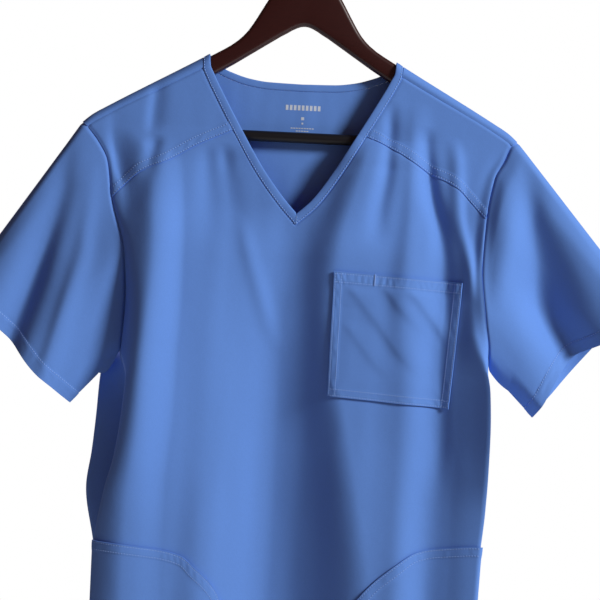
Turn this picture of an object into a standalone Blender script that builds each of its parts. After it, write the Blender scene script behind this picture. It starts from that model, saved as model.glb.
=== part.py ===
"""A scrub top on a wooden hanger, as solids.

The origin is the inner top of the hook, where a rail carries it. +X is the wearer's left, -Y the front and +Z up.
Lengths in the tables are in millimetres. "Drop" is the distance below the high shoulder points, and "out" is the
distance in front of the hanger's middle plane (behind it, for the back).
"""

import math

import bmesh
import bpy
import numpy as np

MM = 0.001
SHOULDER_Z = -150.0  # height of the high shoulder points under the rail
HEM_DROP = 690.0
UNDERARM_DROP = 304.0
YOKE_DROP = 150.0  # where the yoke seam meets the armhole
CLOTH = 1.3  # wall of a single layer
BINDING = 2.0  # wall of the folded neck binding
GAP = 0.3  # between neighbouring pieces
BINDING_WIDTH = 8.7
RIDGE = 9.5  # half the depth of the cloth where it rolls over the shoulder
SHOULDER_BLEND = 170.0  # drop over which the cloth leaves the hanger for its full depth
NECK_SIDE = 102.0  # where the binding's outer edge crosses the shoulder
SHOULDER_END = 221.0  # where the armhole crosses the shoulder
SEAM_START, SEAM_END = 101.0, 215.0  # the forward shoulder seam, from the neck binding to the armhole
BACK_FULL = 190.0  # drop at which the back's columns reach their own places
BINDING_TURN = (7.2, 4.2)  # from the binding's outer edge to its inner edge as it rolls over the shoulder
BINDING_TIP = 11.5  # from the outer to the inner tip of the V
POCKET_LIFT = 0.25  # clearance of a pocket over the gap between pieces

WOOD_DEPTH = 12.0
BAR_RADIUS = 5.5
BAR_DROP = 80.5
BAR_REACH = 196.0
HUB_DROP = -88.0
WIRE_RADIUS = 2.0
HOOK_RADIUS = 22.0


def table(names, *rows):
    return {name: np.array(column, float) for name, column in zip(names.split(), zip(*rows))}


SHOULDER = table("x drop", (0, -57), (95, 0), (197, 58), (211, 66.5), (221, 75), (240, 94))

FRONT = table(
    "drop left_edge left_lip left_crest left_flank right_flank right_lip right_edge"
    " left_edge_out left_lip_out left_crest_out middle_out right_lip_out right_edge_out",
    (75, -221, -205, -178, -127, 180, 206, 221, 9.5, 10, 11, 12, 9.5, 10),
    (79.4, -215, -200, -174, -126, 176, 200, 215, 9, 10, 14, 13, 10, 10),
    (95, -202, -190, -158, -121, 170, 194, 208, 7.5, 10, 24, 13.5, 11, 14),
    (112, -193, -183, -150, -116, 165, 186, 199, 8, 12, 29, 11, 12, 17),
    (150, -187, -176, -145, -112, 163, 180, 192, 12, 18, 33, 11, 15, 21),
    (204, -171, -162, -141, -110, 168, 180, 189, 22, 31, 40, 19, 22, 25),
    (254, -168, -159, -143, -110, 169, 183, 194, 18, 36, 45, 20, 27, 31),
    (287, -169, -160, -145, -111, 168, 190, 199, 18, 37, 47, 20, 33, 29),
    (304, -170, -161, -146, -112, 168, 196, 199.5, 14, 37, 47, 20, 36, 22),
    (330, -163, -161.5, -147, -112, 169, 201, 195, 4, 36, 47, 20, 40, 4),
    (370, -150, -164.5, -149, -113, 170, 202.5, 186, -6, 35, 46, 20, 41, -8),
    (410, -156, -170, -153, -116, 169, 202, 186, -10, 33, 44, 21, 39, -8),
    (446, -178, -179, -157, -118, 167, 201, 187, -12, 28, 40, 22, 33, -8),
    (500, -184, -187, -158, -118, 168, 197, 189, -6, 20, 35, 24, 30, -5),
    (600, -182, -187, -156, -116, 168, 194.5, 189, -4, 18, 33, 25, 29, -4),
    (690, -180, -186, -155, -116, 167, 194, 188, -4, 17, 32, 26, 29, -4),
)

BACK = table(
    "drop left_edge left_lip left_crest left_flank right_flank right_lip right_edge"
    " left_edge_out left_lip_out left_crest_out middle_out right_lip_out right_edge_out",
    (75, -221, -205, -188, -150, 180, 205, 221, 9.5, 10, 10, 8, 10, 9.5),
    (99, -210, -196, -179, -144, 171, 196, 210, 12, 14, 14, 8.5, 14, 12),
    (144, -199, -184, -167, -134, 159, 184, 199, 20, 23, 22, 9.5, 23, 20),
    (190, -192, -177, -160, -128, 152, 177, 192, 26, 29, 28, 16, 29, 26),
    (250, -186, -171, -154, -124, 149, 173, 190, 22, 33, 34, 27, 33, 8),
    (278, -180, -170, -154, -124, 154, 180, 195, 4, 33, 35, 31, 30, -10),
    (304, -170, -176, -159, -126, 160, 190, 199.5, -14, 31, 36, 34, 27, -22),
    (330, -163, -194, -175, -138, 168, 196, 195, -4, 26, 34, 36, 24, -4),
    (370, -150, -196, -179, -142, 171, 196, 186, 6, 22, 33, 40, 22, 8),
    (410, -156, -199, -182, -146, 171, 196, 186, 10, 22, 33, 41, 22, 8),
    (446, -178, -203, -185, -147, 171, 196, 187, 12, 22, 33, 42, 22, 8),
    (512, -184, -192, -174, -138, 169, 194, 189, 6, 22, 34, 43, 22, 5),
    (600, -182, -187, -170, -136, 167, 192, 189, 4, 24, 36, 45, 22, 4),
    (690, -180, -186, -169, -135, 166, 191, 188, 4, 26, 38, 47, 24, 4),
)

# Share runs down the cuff from its outer corner to its lower tip.
CUFF = table(
    "share left_x left_drop left_out right_x right_drop right_out left_back right_back",
    (0.00, -334, 245, 4, 350, 233, 26, -4, -26),
    (0.12, -321, 259, 22, 338, 249, 36, 18, 4),
    (0.30, -301, 281, 31, 318, 272, 33, 31, 26),
    (0.50, -276, 304, 36, 289, 289, 22, 33, 32),
    (0.68, -256, 327, 38, 272, 310, 28, 26, 30),
    (0.88, -234, 346, 30, 257, 340, 22, 4, 18),
    (1.00, -220, 359, 14, 250, 353, 4, -14, -4),
)

# The outer edge of the neck binding, from the shoulder to the tip of the V.
NECKLINE = table(
    "drop left_x right_x",
    (4, 102, 102),
    (15, 101, 101),
    (24.5, 97, 97),
    (47, 85, 85),
    (76, 68.5, 68.5),
    (119.5, 42, 43),
    (149.5, 19, 22),
    (170, 0, 0),
)
BACK_NECKLINE = table("x drop", (0, 32.5), (35, 31.5), (54, 29), (76, 22.5), (90, 16), (97, 11.5), (102, 4.2))
YOKE_SEAM = table("x drop", (68, 77), (102, 93), (134, 112), (157, 122), (187, 150), (200, 165))
FORWARD_SEAM = table("x below_shoulder", (101, 11.5), (140, 10.5), (190, 9), (215, 9.5))

# Each large fold runs down the cloth: its middle, the spread on either side of it, and how far it stands out.
FOLD = "drop x left right height"
FRONT_FOLDS = [
    # the valley under the V: a fall from the left, then a rise to the right that wanders outward
    table(FOLD, (150, 0, 30, 600, 0), (200, 0, 40, 600, -9), (260, -6, 44, 600, -16), (320, -8, 46, 600, -20),
          (440, -8, 46, 600, -23), (690, -6, 48, 600, -26)),
    table(FOLD, (150, 50, 30, 600, 0), (200, 46, 28, 600, 9), (240, 42, 26, 600, 14), (280, 46, 28, 600, 18),
          (320, 50, 31, 600, 21), (380, 63, 38, 600, 26), (440, 75, 45, 600, 33), (530, 90, 54, 600, 38),
          (690, 96, 58, 600, 40)),
    # the soft ridge that follows the right side of the V
    table(FOLD, (84, 74, 14, 50, 0), (102, 68, 16, 50, 8), (120, 63, 19, 50, 12), (150, 56, 23, 46, 13),
          (180, 47, 24, 40, 10), (215, 41, 26, 36, 4), (250, 40, 26, 36, 0)),
    # the trough under the right yoke, running on down past the pocket
    table(FOLD, (64, 128, 9, 7, 0), (80, 129, 9, 7, -3), (92, 130, 9, 7, -4), (130, 136, 10, 8, -7),
          (170, 147, 10, 9, -7), (230, 154, 20, 12, -9), (300, 150, 20, 14, -9), (380, 154, 22, 14, -9),
          (450, 148, 22, 24, -8), (690, 150, 22, 26, -8)),
    # the hem's own waves
    table(FOLD, (540, -116, 20, 22, 0), (690, -118, 22, 24, -6)),
    table(FOLD, (540, 66, 22, 22, 0), (690, 66, 22, 24, 5)),
]
LEFT_SLEEVE_FOLDS = [
    table(FOLD, (80, -226, 8, 7, 0), (105, -233, 12, 9, -5), (150, -240, 16, 13, -8), (200, -252, 20, 13, -11),
          (240, -263, 22, 14, -14), (300, -282, 24, 16, -15), (360, -300, 24, 16, -15)),
]
RIGHT_SLEEVE_FOLDS = [
    table(FOLD, (80, 226, 8, 8, 0), (105, 229, 10, 12, -5), (150, 238, 16, 14, -11), (180, 245, 20, 22, -15),
          (200, 250, 23, 26, -17), (240, 261, 28, 30, -20), (290, 286, 34, 30, -18), (360, 300, 34, 30, -14)),
]
BACK_FOLDS = [
    table(FOLD, (100, -140, 16, 16, 0), (200, -143, 18, 18, 4), (690, -150, 24, 24, 5)),
    table(FOLD, (90, -104, 14, 16, 0), (240, -107, 18, 18, -8), (690, -112, 24, 24, -9)),
    table(FOLD, (110, -30, 22, 24, 0), (280, -34, 26, 26, 6), (690, -44, 30, 30, 7)),
    table(FOLD, (130, 24, 16, 18, 0), (300, 22, 20, 20, -8), (690, 20, 26, 26, -9)),
    table(FOLD, (100, 84, 18, 20, 0), (280, 80, 22, 22, 7), (690, 76, 26, 26, 7)),
    table(FOLD, (90, 132, 12, 14, 0), (250, 132, 15, 16, -7), (690, 134, 20, 20, -8)),
    table(FOLD, (85, -222, 8, 8, 0), (240, -250, 14, 14, -8), (360, -274, 20, 20, -9)),
    table(FOLD, (85, 222, 8, 8, 0), (240, 250, 14, 14, -8), (360, 276, 20, 20, -9)),
]

# The entries of the lower pockets. The right one is cut higher at the side.
POCKET_ENTRY = {
    "left": table(
        "x drop", (52, 575), (58, 556), (64, 541), (84, 519), (99, 507), (125, 501), (180, 496), (230, 496)
    ),
    "right": table(
        "x drop", (60, 575), (70, 556), (79, 541), (90, 527), (103, 515), (135, 492), (165, 486), (196, 482), (230, 482)
    ),
}

# Across a section, from one side seam to the other.
EDGE, LIP, CREST, FLANK, FALL = 1.0, 0.92, 0.85, 0.82, 0.70
COLUMNS = np.array(
    [-1, -0.96, -0.92, -0.87, -0.82, -0.73, -0.62, -0.51, -0.40, -0.30, -0.20, -0.10, 0]
    + [0.10, 0.20, 0.30, 0.40, 0.51, 0.62, 0.73, 0.82, 0.87, 0.92, 0.96, 1]
)
YOKE_COLUMN = 0.40  # the column that starts where the yoke seam meets the neck binding
POCKET_DROPS = (215.0, 341.0)
LOWER_DROPS = np.array([215, 237, 259, 282, 304, 322, 341, 366, 392, 419, 446, 480, 515, 555, 600, 645, 690])
ARM_DROPS = LOWER_DROPS[LOWER_DROPS <= UNDERARM_DROP]
YOKE_ROWS = 5
ROLL = np.array([0, 1.3, 4.75])  # rows over the shoulder, as distances under its top line
NEAR = np.concatenate([ROLL, [9.5, 24.0]])  # the same, down the back


def slopes(knots, values):
    """The slopes of a monotone cubic through values at knots. Values may be a row of columns."""
    step = np.diff(knots)
    step = step.reshape((-1,) + (1,) * (values.ndim - 1))
    secant = np.diff(values, axis=0) / step
    inner = np.zeros_like(values)
    before, after = secant[:-1], secant[1:]
    same = before * after > 0
    total = np.where(same, before + after, 1.0)
    inner[1:-1] = np.where(same, 2 * before * after / total, 0.0)
    inner[0], inner[-1] = secant[0], secant[-1]
    return inner


def hermite(knots, values, slope, at):
    i = np.clip(np.searchsorted(knots, at, side="right") - 1, 0, len(knots) - 2)
    step = knots[i + 1] - knots[i]
    t = (at - knots[i]) / step
    column = np.arange(len(at)) if values.ndim > 1 else None

    def pick(rows, index):
        return rows[index] if column is None else rows[index, column]

    low, high = pick(values, i), pick(values, i + 1)
    rise, fall = pick(slope, i) * step, pick(slope, i + 1) * step
    h = 2 * t**3 - 3 * t**2 + 1
    return h * low + (1 - h) * high + (t**3 - 2 * t**2 + t) * rise + (t**3 - t**2) * fall


def read(source, key, name, at):
    """A column of a table, smoothly between its rows and constant past its ends."""
    at = np.asarray(at, float)
    knots, values = source[key], source[name]
    flat = np.clip(at.ravel(), knots[0], knots[-1])
    return hermite(knots, values, slopes(knots, values), flat).reshape(at.shape)


def smoothstep(t):
    t = np.clip(t, 0, 1)
    return t * t * (3 - 2 * t)


def roll(under):
    """How far the cloth stands out from the hanger's middle, this far under the shoulder line."""
    return np.sqrt(np.maximum(RIDGE**2 - np.clip(RIDGE - under, 0, RIDGE) ** 2, 0))


def shoulder_drop(x):
    return read(SHOULDER, "x", "drop", np.abs(x))


def section(levels, column, drop):
    """x and out of the section at this drop, at a column from -1, the left seam, to 1, the right seam."""
    column, drop = np.broadcast_arrays(np.asarray(column, float), np.asarray(drop, float))
    shape, column, drop = column.shape, column.ravel(), drop.ravel()

    def level(name):
        own = read(levels, "drop", name, drop)
        if levels is FRONT or "edge" not in name:
            return own
        # under the arm the back is sewn to the front
        joined = read(FRONT, "drop", name, drop) * (-1 if name.endswith("out") else 1)
        return np.where(drop > UNDERARM_DROP, joined, own)

    left, right = level("left_flank"), level("right_flank")
    middle, crest, right_lip = level("middle_out"), level("left_crest_out"), level("right_lip_out")
    knots = np.array([-EDGE, -LIP, -CREST, -FALL, -0.41, 0, 0.41, FLANK, LIP, EDGE])
    x = [level("left_edge"), level("left_lip"), level("left_crest"), left, left * 0.58, 0 * left, right / 2, right]
    x = np.array(x + [level("right_lip"), level("right_edge")])
    out = [level("left_edge_out"), level("left_lip_out"), crest, 0.72 * middle + 0.28 * crest, middle, middle, middle]
    out = np.array(out + [0.8 * middle + 0.2 * right_lip, right_lip, level("right_edge_out")])
    turn = smoothstep((drop - 250) / 70)  # below the underarm the section turns round at its seams
    x_slope, out_slope = slopes(knots, x), slopes(knots, out)
    x_slope[0], x_slope[-1] = x_slope[0] * (1 - turn), x_slope[-1] * (1 - turn)
    x = hermite(knots, x, x_slope, column)
    return x.reshape(shape), hermite(knots, out, out_slope, column).reshape(shape)


def relief(folds, x, drop):
    x, drop = np.broadcast_arrays(x, drop)
    out = np.zeros(x.shape)
    for one in folds:
        away = x - read(one, "drop", "x", drop)
        spread = np.where(away < 0, read(one, "drop", "left", drop), read(one, "drop", "right", drop))
        out += read(one, "drop", "height", drop) * np.exp(-np.square(away / spread))
    return out


def surface(levels, folds, side, column, drop):
    """A point of the front (side -1) or of the back (side 1)."""
    x, out = section(levels, column, drop)
    drop = np.broadcast_to(drop, x.shape)
    under = drop - shoulder_drop(x)
    keep = smoothstep((1 - np.abs(column)) / 0.1)
    out = roll(under) + (out - RIDGE) * smoothstep(under / SHOULDER_BLEND) + keep * relief(folds, x, drop)
    return np.stack([x, side * out, SHOULDER_Z - drop], axis=-1)


def front(column, drop):
    return surface(FRONT, FRONT_FOLDS, -1, column, drop)


def back(column, drop):
    return surface(BACK, BACK_FOLDS, 1, column, drop)


def column_at(levels, x, drop):
    """The column that passes through x, above the underarm, where there is one."""
    low, high = np.full(np.shape(x), -1.0), np.full(np.shape(x), 1.0)
    for _ in range(40):
        middle = (low + high) / 2
        right = section(levels, middle, drop)[0] < x
        low, high = np.where(right, middle, low), np.where(right, high, middle)
    return (low + high) / 2


def front_at(x, drop):
    return front(column_at(FRONT, x, drop), drop)


def back_at(x, drop):
    return back(column_at(BACK, x, drop), drop)


def normals(points):
    """Unit normals of a grid of points."""
    out = np.cross(np.gradient(points, axis=1), np.gradient(points, axis=0))
    return out / np.maximum(np.linalg.norm(out, axis=-1, keepdims=True), 1e-9)


def pulled_in(points, side, by):
    """The grid with one side moved in along the cloth. By is one distance, or one for each point of that side."""
    points = points.copy()
    edge, inner = {"top": (0, 1), "bottom": (-1, -2), "left": (0, 1), "right": (-1, -2)}[side]
    view = points if side in ("top", "bottom") else points.transpose(1, 0, 2)
    step = view[inner] - view[edge]
    view[edge] += step * (np.asarray(by) / np.linalg.norm(step, axis=-1)).reshape(-1, 1)
    return points


def coons(top, bottom, left, right):
    """A grid of flat points inside four sides that share their corners."""
    across = np.linspace(0, 1, len(top))[None, :, None]
    down = np.linspace(0, 1, len(left))[:, None, None]
    ruled = (1 - down) * top[None] + down * bottom[None] + (1 - across) * left[:, None] + across * right[:, None]
    corners = (1 - down) * ((1 - across) * top[0] + across * top[-1])
    return ruled - corners - down * ((1 - across) * bottom[0] + across * bottom[-1])


def material(name, colour, roughness, metallic=0.0):
    made = bpy.data.materials.new(name)
    made.use_nodes = True
    shader = made.node_tree.nodes["Principled BSDF"]
    shader.inputs["Base Color"].default_value = (*colour, 1.0)
    shader.inputs["Roughness"].default_value = roughness
    shader.inputs["Metallic"].default_value = metallic
    return made


def add(name, mesh, finish):
    made = bpy.data.objects.new(name, mesh)
    bpy.context.scene.collection.objects.link(made)
    mesh.materials.append(finish)
    return made


def cloth(name, grids, wall, finish, closed=False):
    """A wall of cloth round the middle surface that the grids give. Grids of one piece share their edge points."""
    shape = bmesh.new()
    for points in grids:
        rows, columns = points.shape[:2]
        made = [[shape.verts.new(point * MM) for point in row] for row in points]
        for i in range(rows - 1):
            for j in range(columns if closed else columns - 1):
                k = (j + 1) % columns
                a, b, c, d = made[i][j], made[i + 1][j], made[i + 1][k], made[i][k]
                if (a.co - c.co).length < (b.co - d.co).length:
                    corners = ((a, b, c), (a, c, d))
                else:
                    corners = ((a, b, d), (b, c, d))
                for three in corners:
                    shape.faces.new(three)
    bmesh.ops.remove_doubles(shape, verts=shape.verts, dist=1e-6)
    bmesh.ops.recalc_face_normals(shape, faces=shape.faces)
    mesh = bpy.data.meshes.new(name)
    shape.to_mesh(mesh)
    shape.free()
    made = add(name, mesh, finish)
    thicken = made.modifiers.new("wall", "SOLIDIFY")
    thicken.thickness = wall * MM
    thicken.offset = 0
    return made


def front_top_drop(x):
    """The drop of the front's upper edge: the neck binding between the yokes, the yoke seams outside them."""
    neck_left = np.interp(-x, NECKLINE["left_x"][::-1], NECKLINE["drop"][::-1])
    neck_right = np.interp(x, NECKLINE["right_x"][::-1], NECKLINE["drop"][::-1])
    neck = np.where(x < 0, neck_left, neck_right)
    return np.where(np.abs(x) < YOKE_SEAM["x"][0], neck, read(YOKE_SEAM, "x", "drop", np.abs(x)))


def top_columns():
    """The front's columns at its upper edge, where one on each side runs to the corner of its yoke."""
    columns = COLUMNS.copy()
    x, drop = YOKE_SEAM["x"][0], YOKE_SEAM["drop"][0]
    for side in (-1, 1):
        columns[np.isclose(COLUMNS, side * YOKE_COLUMN)] = column_at(FRONT, side * x, drop)
    return columns


def front_top_line():
    """The drops of the front's columns at its upper edge."""
    drop = np.full(COLUMNS.shape, YOKE_DROP)
    for _ in range(12):
        drop = np.minimum(front_top_drop(section(FRONT, top_columns(), drop)[0]), 170.0)
    drop[np.isclose(np.abs(COLUMNS), YOKE_COLUMN)] = YOKE_SEAM["drop"][0]
    drop[0] = drop[-1] = YOKE_DROP
    return drop


def seam_trim(drop):
    """How far a panel stops short of its side seam or armhole: more where the walls meet at an angle."""
    drop = np.asarray(drop, float)
    angled = 0.35 * smoothstep((drop - 130) / 30) + 0.35 * smoothstep((drop - 190) / 60)
    return 0.6 * GAP + angled * (1 - smoothstep((drop - 430) / 70))


def front_body(finish):
    top = front_top_line()
    share = np.linspace(0, 1, 4)[:-1, None]
    upper = top + (ARM_DROPS[0] - top) * share
    drops = np.concatenate([upper, np.repeat(LOWER_DROPS[:, None], len(COLUMNS), axis=1)])
    settled = np.minimum(np.arange(len(drops)) / len(share), 1)[:, None]
    columns = top_columns() + (COLUMNS - top_columns()) * settled
    grid = front(columns, drops)
    grid = pulled_in(grid, "top", 0.6 * GAP)
    for side, column in (("left", 0), ("right", -1)):
        grid = pulled_in(grid, side, seam_trim(drops[:, column]))
    return cloth("front_body", [grid], CLOTH, finish)


def yoke_drops():
    return np.linspace(forward_seam(SEAM_END)[1], YOKE_DROP, YOKE_ROWS)


def forward_seam(x):
    x = np.asarray(x, float)
    return x, shoulder_drop(x) + read(FORWARD_SEAM, "x", "below_shoulder", x)


def shoulder_shares():
    return np.linspace(0, 1, int((COLUMNS >= YOKE_COLUMN - 0.01).sum()))


def front_yoke(name, side, finish):
    hand = "left" if side < 0 else "right"
    own = COLUMNS * side >= YOKE_COLUMN - 0.01
    columns, bottom_drop = top_columns()[own][::side], front_top_line()[own][::side]
    bottom = np.stack([section(FRONT, columns, bottom_drop)[0], bottom_drop], axis=-1)
    x, drop = forward_seam(SEAM_START + shoulder_shares() * (SEAM_END - SEAM_START))
    top = np.stack([side * x, drop], axis=-1)
    drops = yoke_drops()
    right = np.stack([section(FRONT, np.full(len(drops), side * EDGE), drops)[0], drops], axis=-1)
    top[-1] = right[0]
    down = np.linspace(top[0][1], bottom[0][1], YOKE_ROWS)
    left = np.stack([side * read(NECKLINE, "drop", hand + "_x", down), down], axis=-1)
    left[0], left[-1] = top[0], bottom[0]
    flat = coons(top, bottom, left, right)
    grid = front_at(flat[..., 0], flat[..., 1])
    for edge in ("top", "bottom", "left", "right"):
        grid = pulled_in(grid, edge, 0.6 * GAP)
    return cloth(name, [grid], CLOTH, finish)


def roll_over(side):
    """The part of the back that rolls forward over one shoulder, from its top line to the forward seam."""
    share = shoulder_shares()
    rows = []
    for row in range(len(ROLL) + 1):
        x = NECK_SIDE + share * (SHOULDER_END - NECK_SIDE)
        seam_x = SEAM_START + share * (SEAM_END - SEAM_START)
        part = row / len(ROLL)
        x = x + (seam_x - x) * part**2
        below = read(FORWARD_SEAM, "x", "below_shoulder", x) if row == len(ROLL) else ROLL[row]
        below = np.broadcast_to(below, x.shape)
        rows.append(np.stack([side * x, -roll(below), SHOULDER_Z - shoulder_drop(x) - below], axis=-1))
    rows[-1] = front_at(rows[-1][:, 0], SHOULDER_Z - rows[-1][:, 2])
    return np.array(rows)


def back_top():
    """x and drop of the back's top line at its columns: the neckline, then the shoulder's top line."""
    neck = np.array([0, 18, 36, 54, 68, 80, 90, 97])
    turn = NECK_SIDE - np.array([1.6, 0.5])
    shoulder = NECK_SIDE + shoulder_shares() * (SHOULDER_END - NECK_SIDE)
    half = np.concatenate([neck, turn, shoulder])
    drop = np.concatenate([read(BACK_NECKLINE, "x", "drop", neck), shoulder_drop(turn) + ROLL[:0:-1]])
    drop = np.concatenate([drop, shoulder_drop(shoulder)])
    return np.concatenate([-half[:0:-1], half]), np.concatenate([drop[:0:-1], drop])


def back_body(finish):
    top_x, top = back_top()
    drops = [top + below for below in NEAR]
    drops += [drops[-1] + (BACK_FULL - drops[len(NEAR) - 1]) * part for part in (0.25, 0.5, 0.75, 1)]
    edge = section(BACK, EDGE, BACK_FULL)[0]
    columns = column_at(BACK, top_x * edge / SHOULDER_END, np.full(top_x.shape, BACK_FULL))
    columns[0], columns[-1] = -EDGE, EDGE
    rows = []
    for drop in drops:
        own = section(BACK, columns, drop)[0]
        part = ((drop - top) / (BACK_FULL - top)) ** 0.5
        x = top_x + (own - top_x) * part
        x[0], x[-1] = own[0], own[-1]
        rows.append(back_at(x, drop))
    for drop in LOWER_DROPS:
        rows.append(back(columns, np.full(columns.shape, float(drop))))
    grid = np.array(rows)
    count = len(shoulder_shares())
    left, right = roll_over(-1)[:, ::-1], roll_over(1)
    left[0], right[0] = grid[0][:count], grid[0][-count:]
    edge_drop = SHOULDER_Z - grid[:, 0, 2]
    grid = pulled_in(grid, "left", seam_trim(edge_drop))
    grid = pulled_in(grid, "right", seam_trim(edge_drop))
    left = pulled_in(pulled_in(left, "bottom", 0.6 * GAP), "left", 0.6 * GAP)
    right = pulled_in(pulled_in(right, "bottom", 0.6 * GAP), "right", 0.6 * GAP)
    left[0], right[0] = grid[0][:count], grid[0][-count:]
    return cloth("back_body", [grid, left, right], CLOTH, finish)


def sleeve(name, side, finish):
    """Lofted from the armhole to the cuff. Its loop runs from the shoulder down the front and up the back."""
    hand = "left" if side < 0 else "right"
    front_roll = roll_over(side)[:, -1]
    front_drops = np.concatenate([yoke_drops()[1:-1], np.linspace(YOKE_DROP, ARM_DROPS[0], 4)[:-1], ARM_DROPS])
    front_line = front(np.full(front_drops.shape, side * EDGE), front_drops)
    seam_corner = front(np.array([side * EDGE]), yoke_drops()[:1])
    front_line = np.concatenate([front_roll[:-1], seam_corner, front_line])
    near = float(shoulder_drop(SHOULDER_END)) + NEAR
    between = near[-1] + (BACK_FULL - near[-1]) * np.array([0.25, 0.5, 0.75, 1])
    back_drops = np.concatenate([near, between, ARM_DROPS])
    back_line = back(np.full(back_drops.shape, side * EDGE), back_drops)[1:-1][::-1]
    armhole = np.concatenate([front_line, back_line])

    def shares(line):
        along = np.concatenate([[0], np.cumsum(np.linalg.norm(np.diff(line, axis=0), axis=1))])
        return along / along[-1]

    front_share = shares(front_line)
    back_share = shares(np.concatenate([armhole[:1], back_line[::-1], front_line[-1:]]))[1:-1][::-1]
    share = np.concatenate([front_share, back_share])
    is_back = np.arange(len(share)) >= len(front_share)
    cuff_x, cuff_drop = read(CUFF, "share", hand + "_x", share), read(CUFF, "share", hand + "_drop", share)
    behind, before = read(CUFF, "share", hand + "_back", share), read(CUFF, "share", hand + "_out", share)
    cuff_out = np.where(is_back, -behind, before)
    straight_x = read(CUFF, "share", hand + "_x", 0) * (1 - share) + read(CUFF, "share", hand + "_x", 1) * share
    straight_drop = read(CUFF, "share", hand + "_drop", 0) * (1 - share)
    straight_drop = straight_drop + read(CUFF, "share", hand + "_drop", 1) * share
    hang = 4 * np.sin(math.pi * share)
    cuff_x = np.where(is_back, straight_x, cuff_x)
    cuff_drop = np.where(is_back, straight_drop + hang, cuff_drop)
    cuff = np.stack([cuff_x, -cuff_out, SHOULDER_Z - cuff_drop], axis=-1)
    front_folds = LEFT_SLEEVE_FOLDS if side < 0 else RIGHT_SLEEVE_FOLDS
    rows = []
    for along in np.linspace(0, 1, 9):
        row = armhole + (cuff - armhole) * along
        flat_x, drop = row[:, 0], SHOULDER_Z - row[:, 2]
        grow = smoothstep(along / 0.35)
        crease = np.where(is_back, relief(BACK_FOLDS, flat_x, drop), -relief(front_folds, flat_x, drop))
        row[:, 1] += crease * grow * np.sin(math.pi * share) ** 0.5
        rows.append(row)
    grid = np.array(rows)
    bottom = np.exp(-(((share - 1) / 0.14) ** 2))
    grid = pulled_in(grid, "top", seam_trim(SHOULDER_Z - armhole[:, 2]) + 1.2 * bottom)
    return cloth(name, [grid], CLOTH, finish, closed=True)


def band(name, outer, inner, finish):
    """A binding between two edges that are given as points."""
    grid = np.array([outer, (outer + inner) / 2, inner])
    for side in ("left", "right"):
        grid = pulled_in(grid, side, 2 * GAP)
    return cloth(name, [pulled_in(grid, "top", GAP)], BINDING, finish)


def front_band(name, side, finish):
    hand = "left" if side < 0 else "right"
    top = table("x below", (102.0, 0.0), (101.7, 1.3), (101.3, 4.75), (101.0, 11.5))
    over = np.stack([top["x"], shoulder_drop(top["x"]) + top["below"]], axis=-1)
    drops = np.linspace(over[-1][1], YOKE_SEAM["drop"][0], YOKE_ROWS)[1:]
    down = np.stack([read(NECKLINE, "drop", hand + "_x", drops), drops], axis=-1)
    line = dict(zip(np.round(COLUMNS, 3), front_top_line()))
    columns = COLUMNS[(COLUMNS >= 0) & (COLUMNS < YOKE_COLUMN - 0.01)][::-1] * side
    v_drop = np.array([line[round(c, 3)] for c in columns])
    v_line = np.stack([np.abs(section(FRONT, columns, v_drop)[0]), v_drop], axis=-1)
    flat = np.concatenate([over, down, v_line])
    along = np.gradient(flat, axis=0)
    square = np.stack([-along[:, 1], along[:, 0]], axis=-1)
    square /= np.linalg.norm(square, axis=-1, keepdims=True)
    inner = flat + BINDING_WIDTH * square
    inner[: len(ROLL)] = flat[: len(ROLL)] - BINDING_TURN
    inner[-1] = (0, flat[-1][1] - BINDING_TIP)
    outer_points = front_at(side * flat[:, 0], flat[:, 1])
    inner_points = front_at(side * inner[:, 0], inner[:, 1])
    for row, below in enumerate(ROLL):
        for points in (outer_points, inner_points):
            points[row, 1] = -roll(below)
    return band(name, outer_points, inner_points, finish)


def back_band(finish):
    x, drop = back_top()
    neck = np.abs(x) <= NECK_SIDE
    x, drop = x[neck], drop[neck]
    along = np.gradient(np.stack([x, drop], axis=-1), axis=0)
    square = np.stack([along[:, 1], -along[:, 0]], axis=-1)
    square /= np.linalg.norm(square, axis=-1, keepdims=True)
    inner_x, inner_drop = x + (BINDING_WIDTH - 1) * square[:, 0], drop + (BINDING_WIDTH - 1) * square[:, 1]
    below = drop - shoulder_drop(x)
    over = below < RIDGE / 2 + 0.1  # here the binding rolls over the shoulder with the cloth
    inner_x = np.where(over, x - np.sign(x) * BINDING_TURN[0], inner_x)
    inner_drop = np.where(over, shoulder_drop(inner_x) + below, inner_drop)
    return band("neckband_back", back_at(x, drop), back_at(inner_x, inner_drop), finish)


def patch(name, columns, drops, finish):
    """A pocket: the front's own points, moved out past its face."""
    base = front(columns, drops)
    out = normals(base)
    out *= np.sign(-out[..., 1:2])
    return cloth(name, [base + out * (CLOTH + GAP + POCKET_LIFT)], CLOTH, finish)


def chest_pocket(finish):
    columns = COLUMNS[(COLUMNS >= 0.20) & (COLUMNS <= 0.821)]
    drops = LOWER_DROPS[(LOWER_DROPS >= POCKET_DROPS[0]) & (LOWER_DROPS <= POCKET_DROPS[1])].astype(float)
    return patch("chest_pocket", columns[None, :] + 0 * drops[:, None], drops[:, None] + 0 * columns, finish)


def lower_pocket(name, side, finish):
    """A patch from its curved entry down to the hem."""
    entry = POCKET_ENTRY["left" if side < 0 else "right"]
    columns = COLUMNS[(COLUMNS >= 0.30) & (COLUMNS <= 0.921)] * side
    rows = []
    for share in np.linspace(0, 1, 8):
        top = read(entry, "x", "drop", np.abs(section(FRONT, columns, 540.0)[0]))
        rows.append(top + (HEM_DROP - 1 - top) * share)
    drops = np.array(rows)
    return patch(name, np.broadcast_to(columns, drops.shape), drops, finish)


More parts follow.
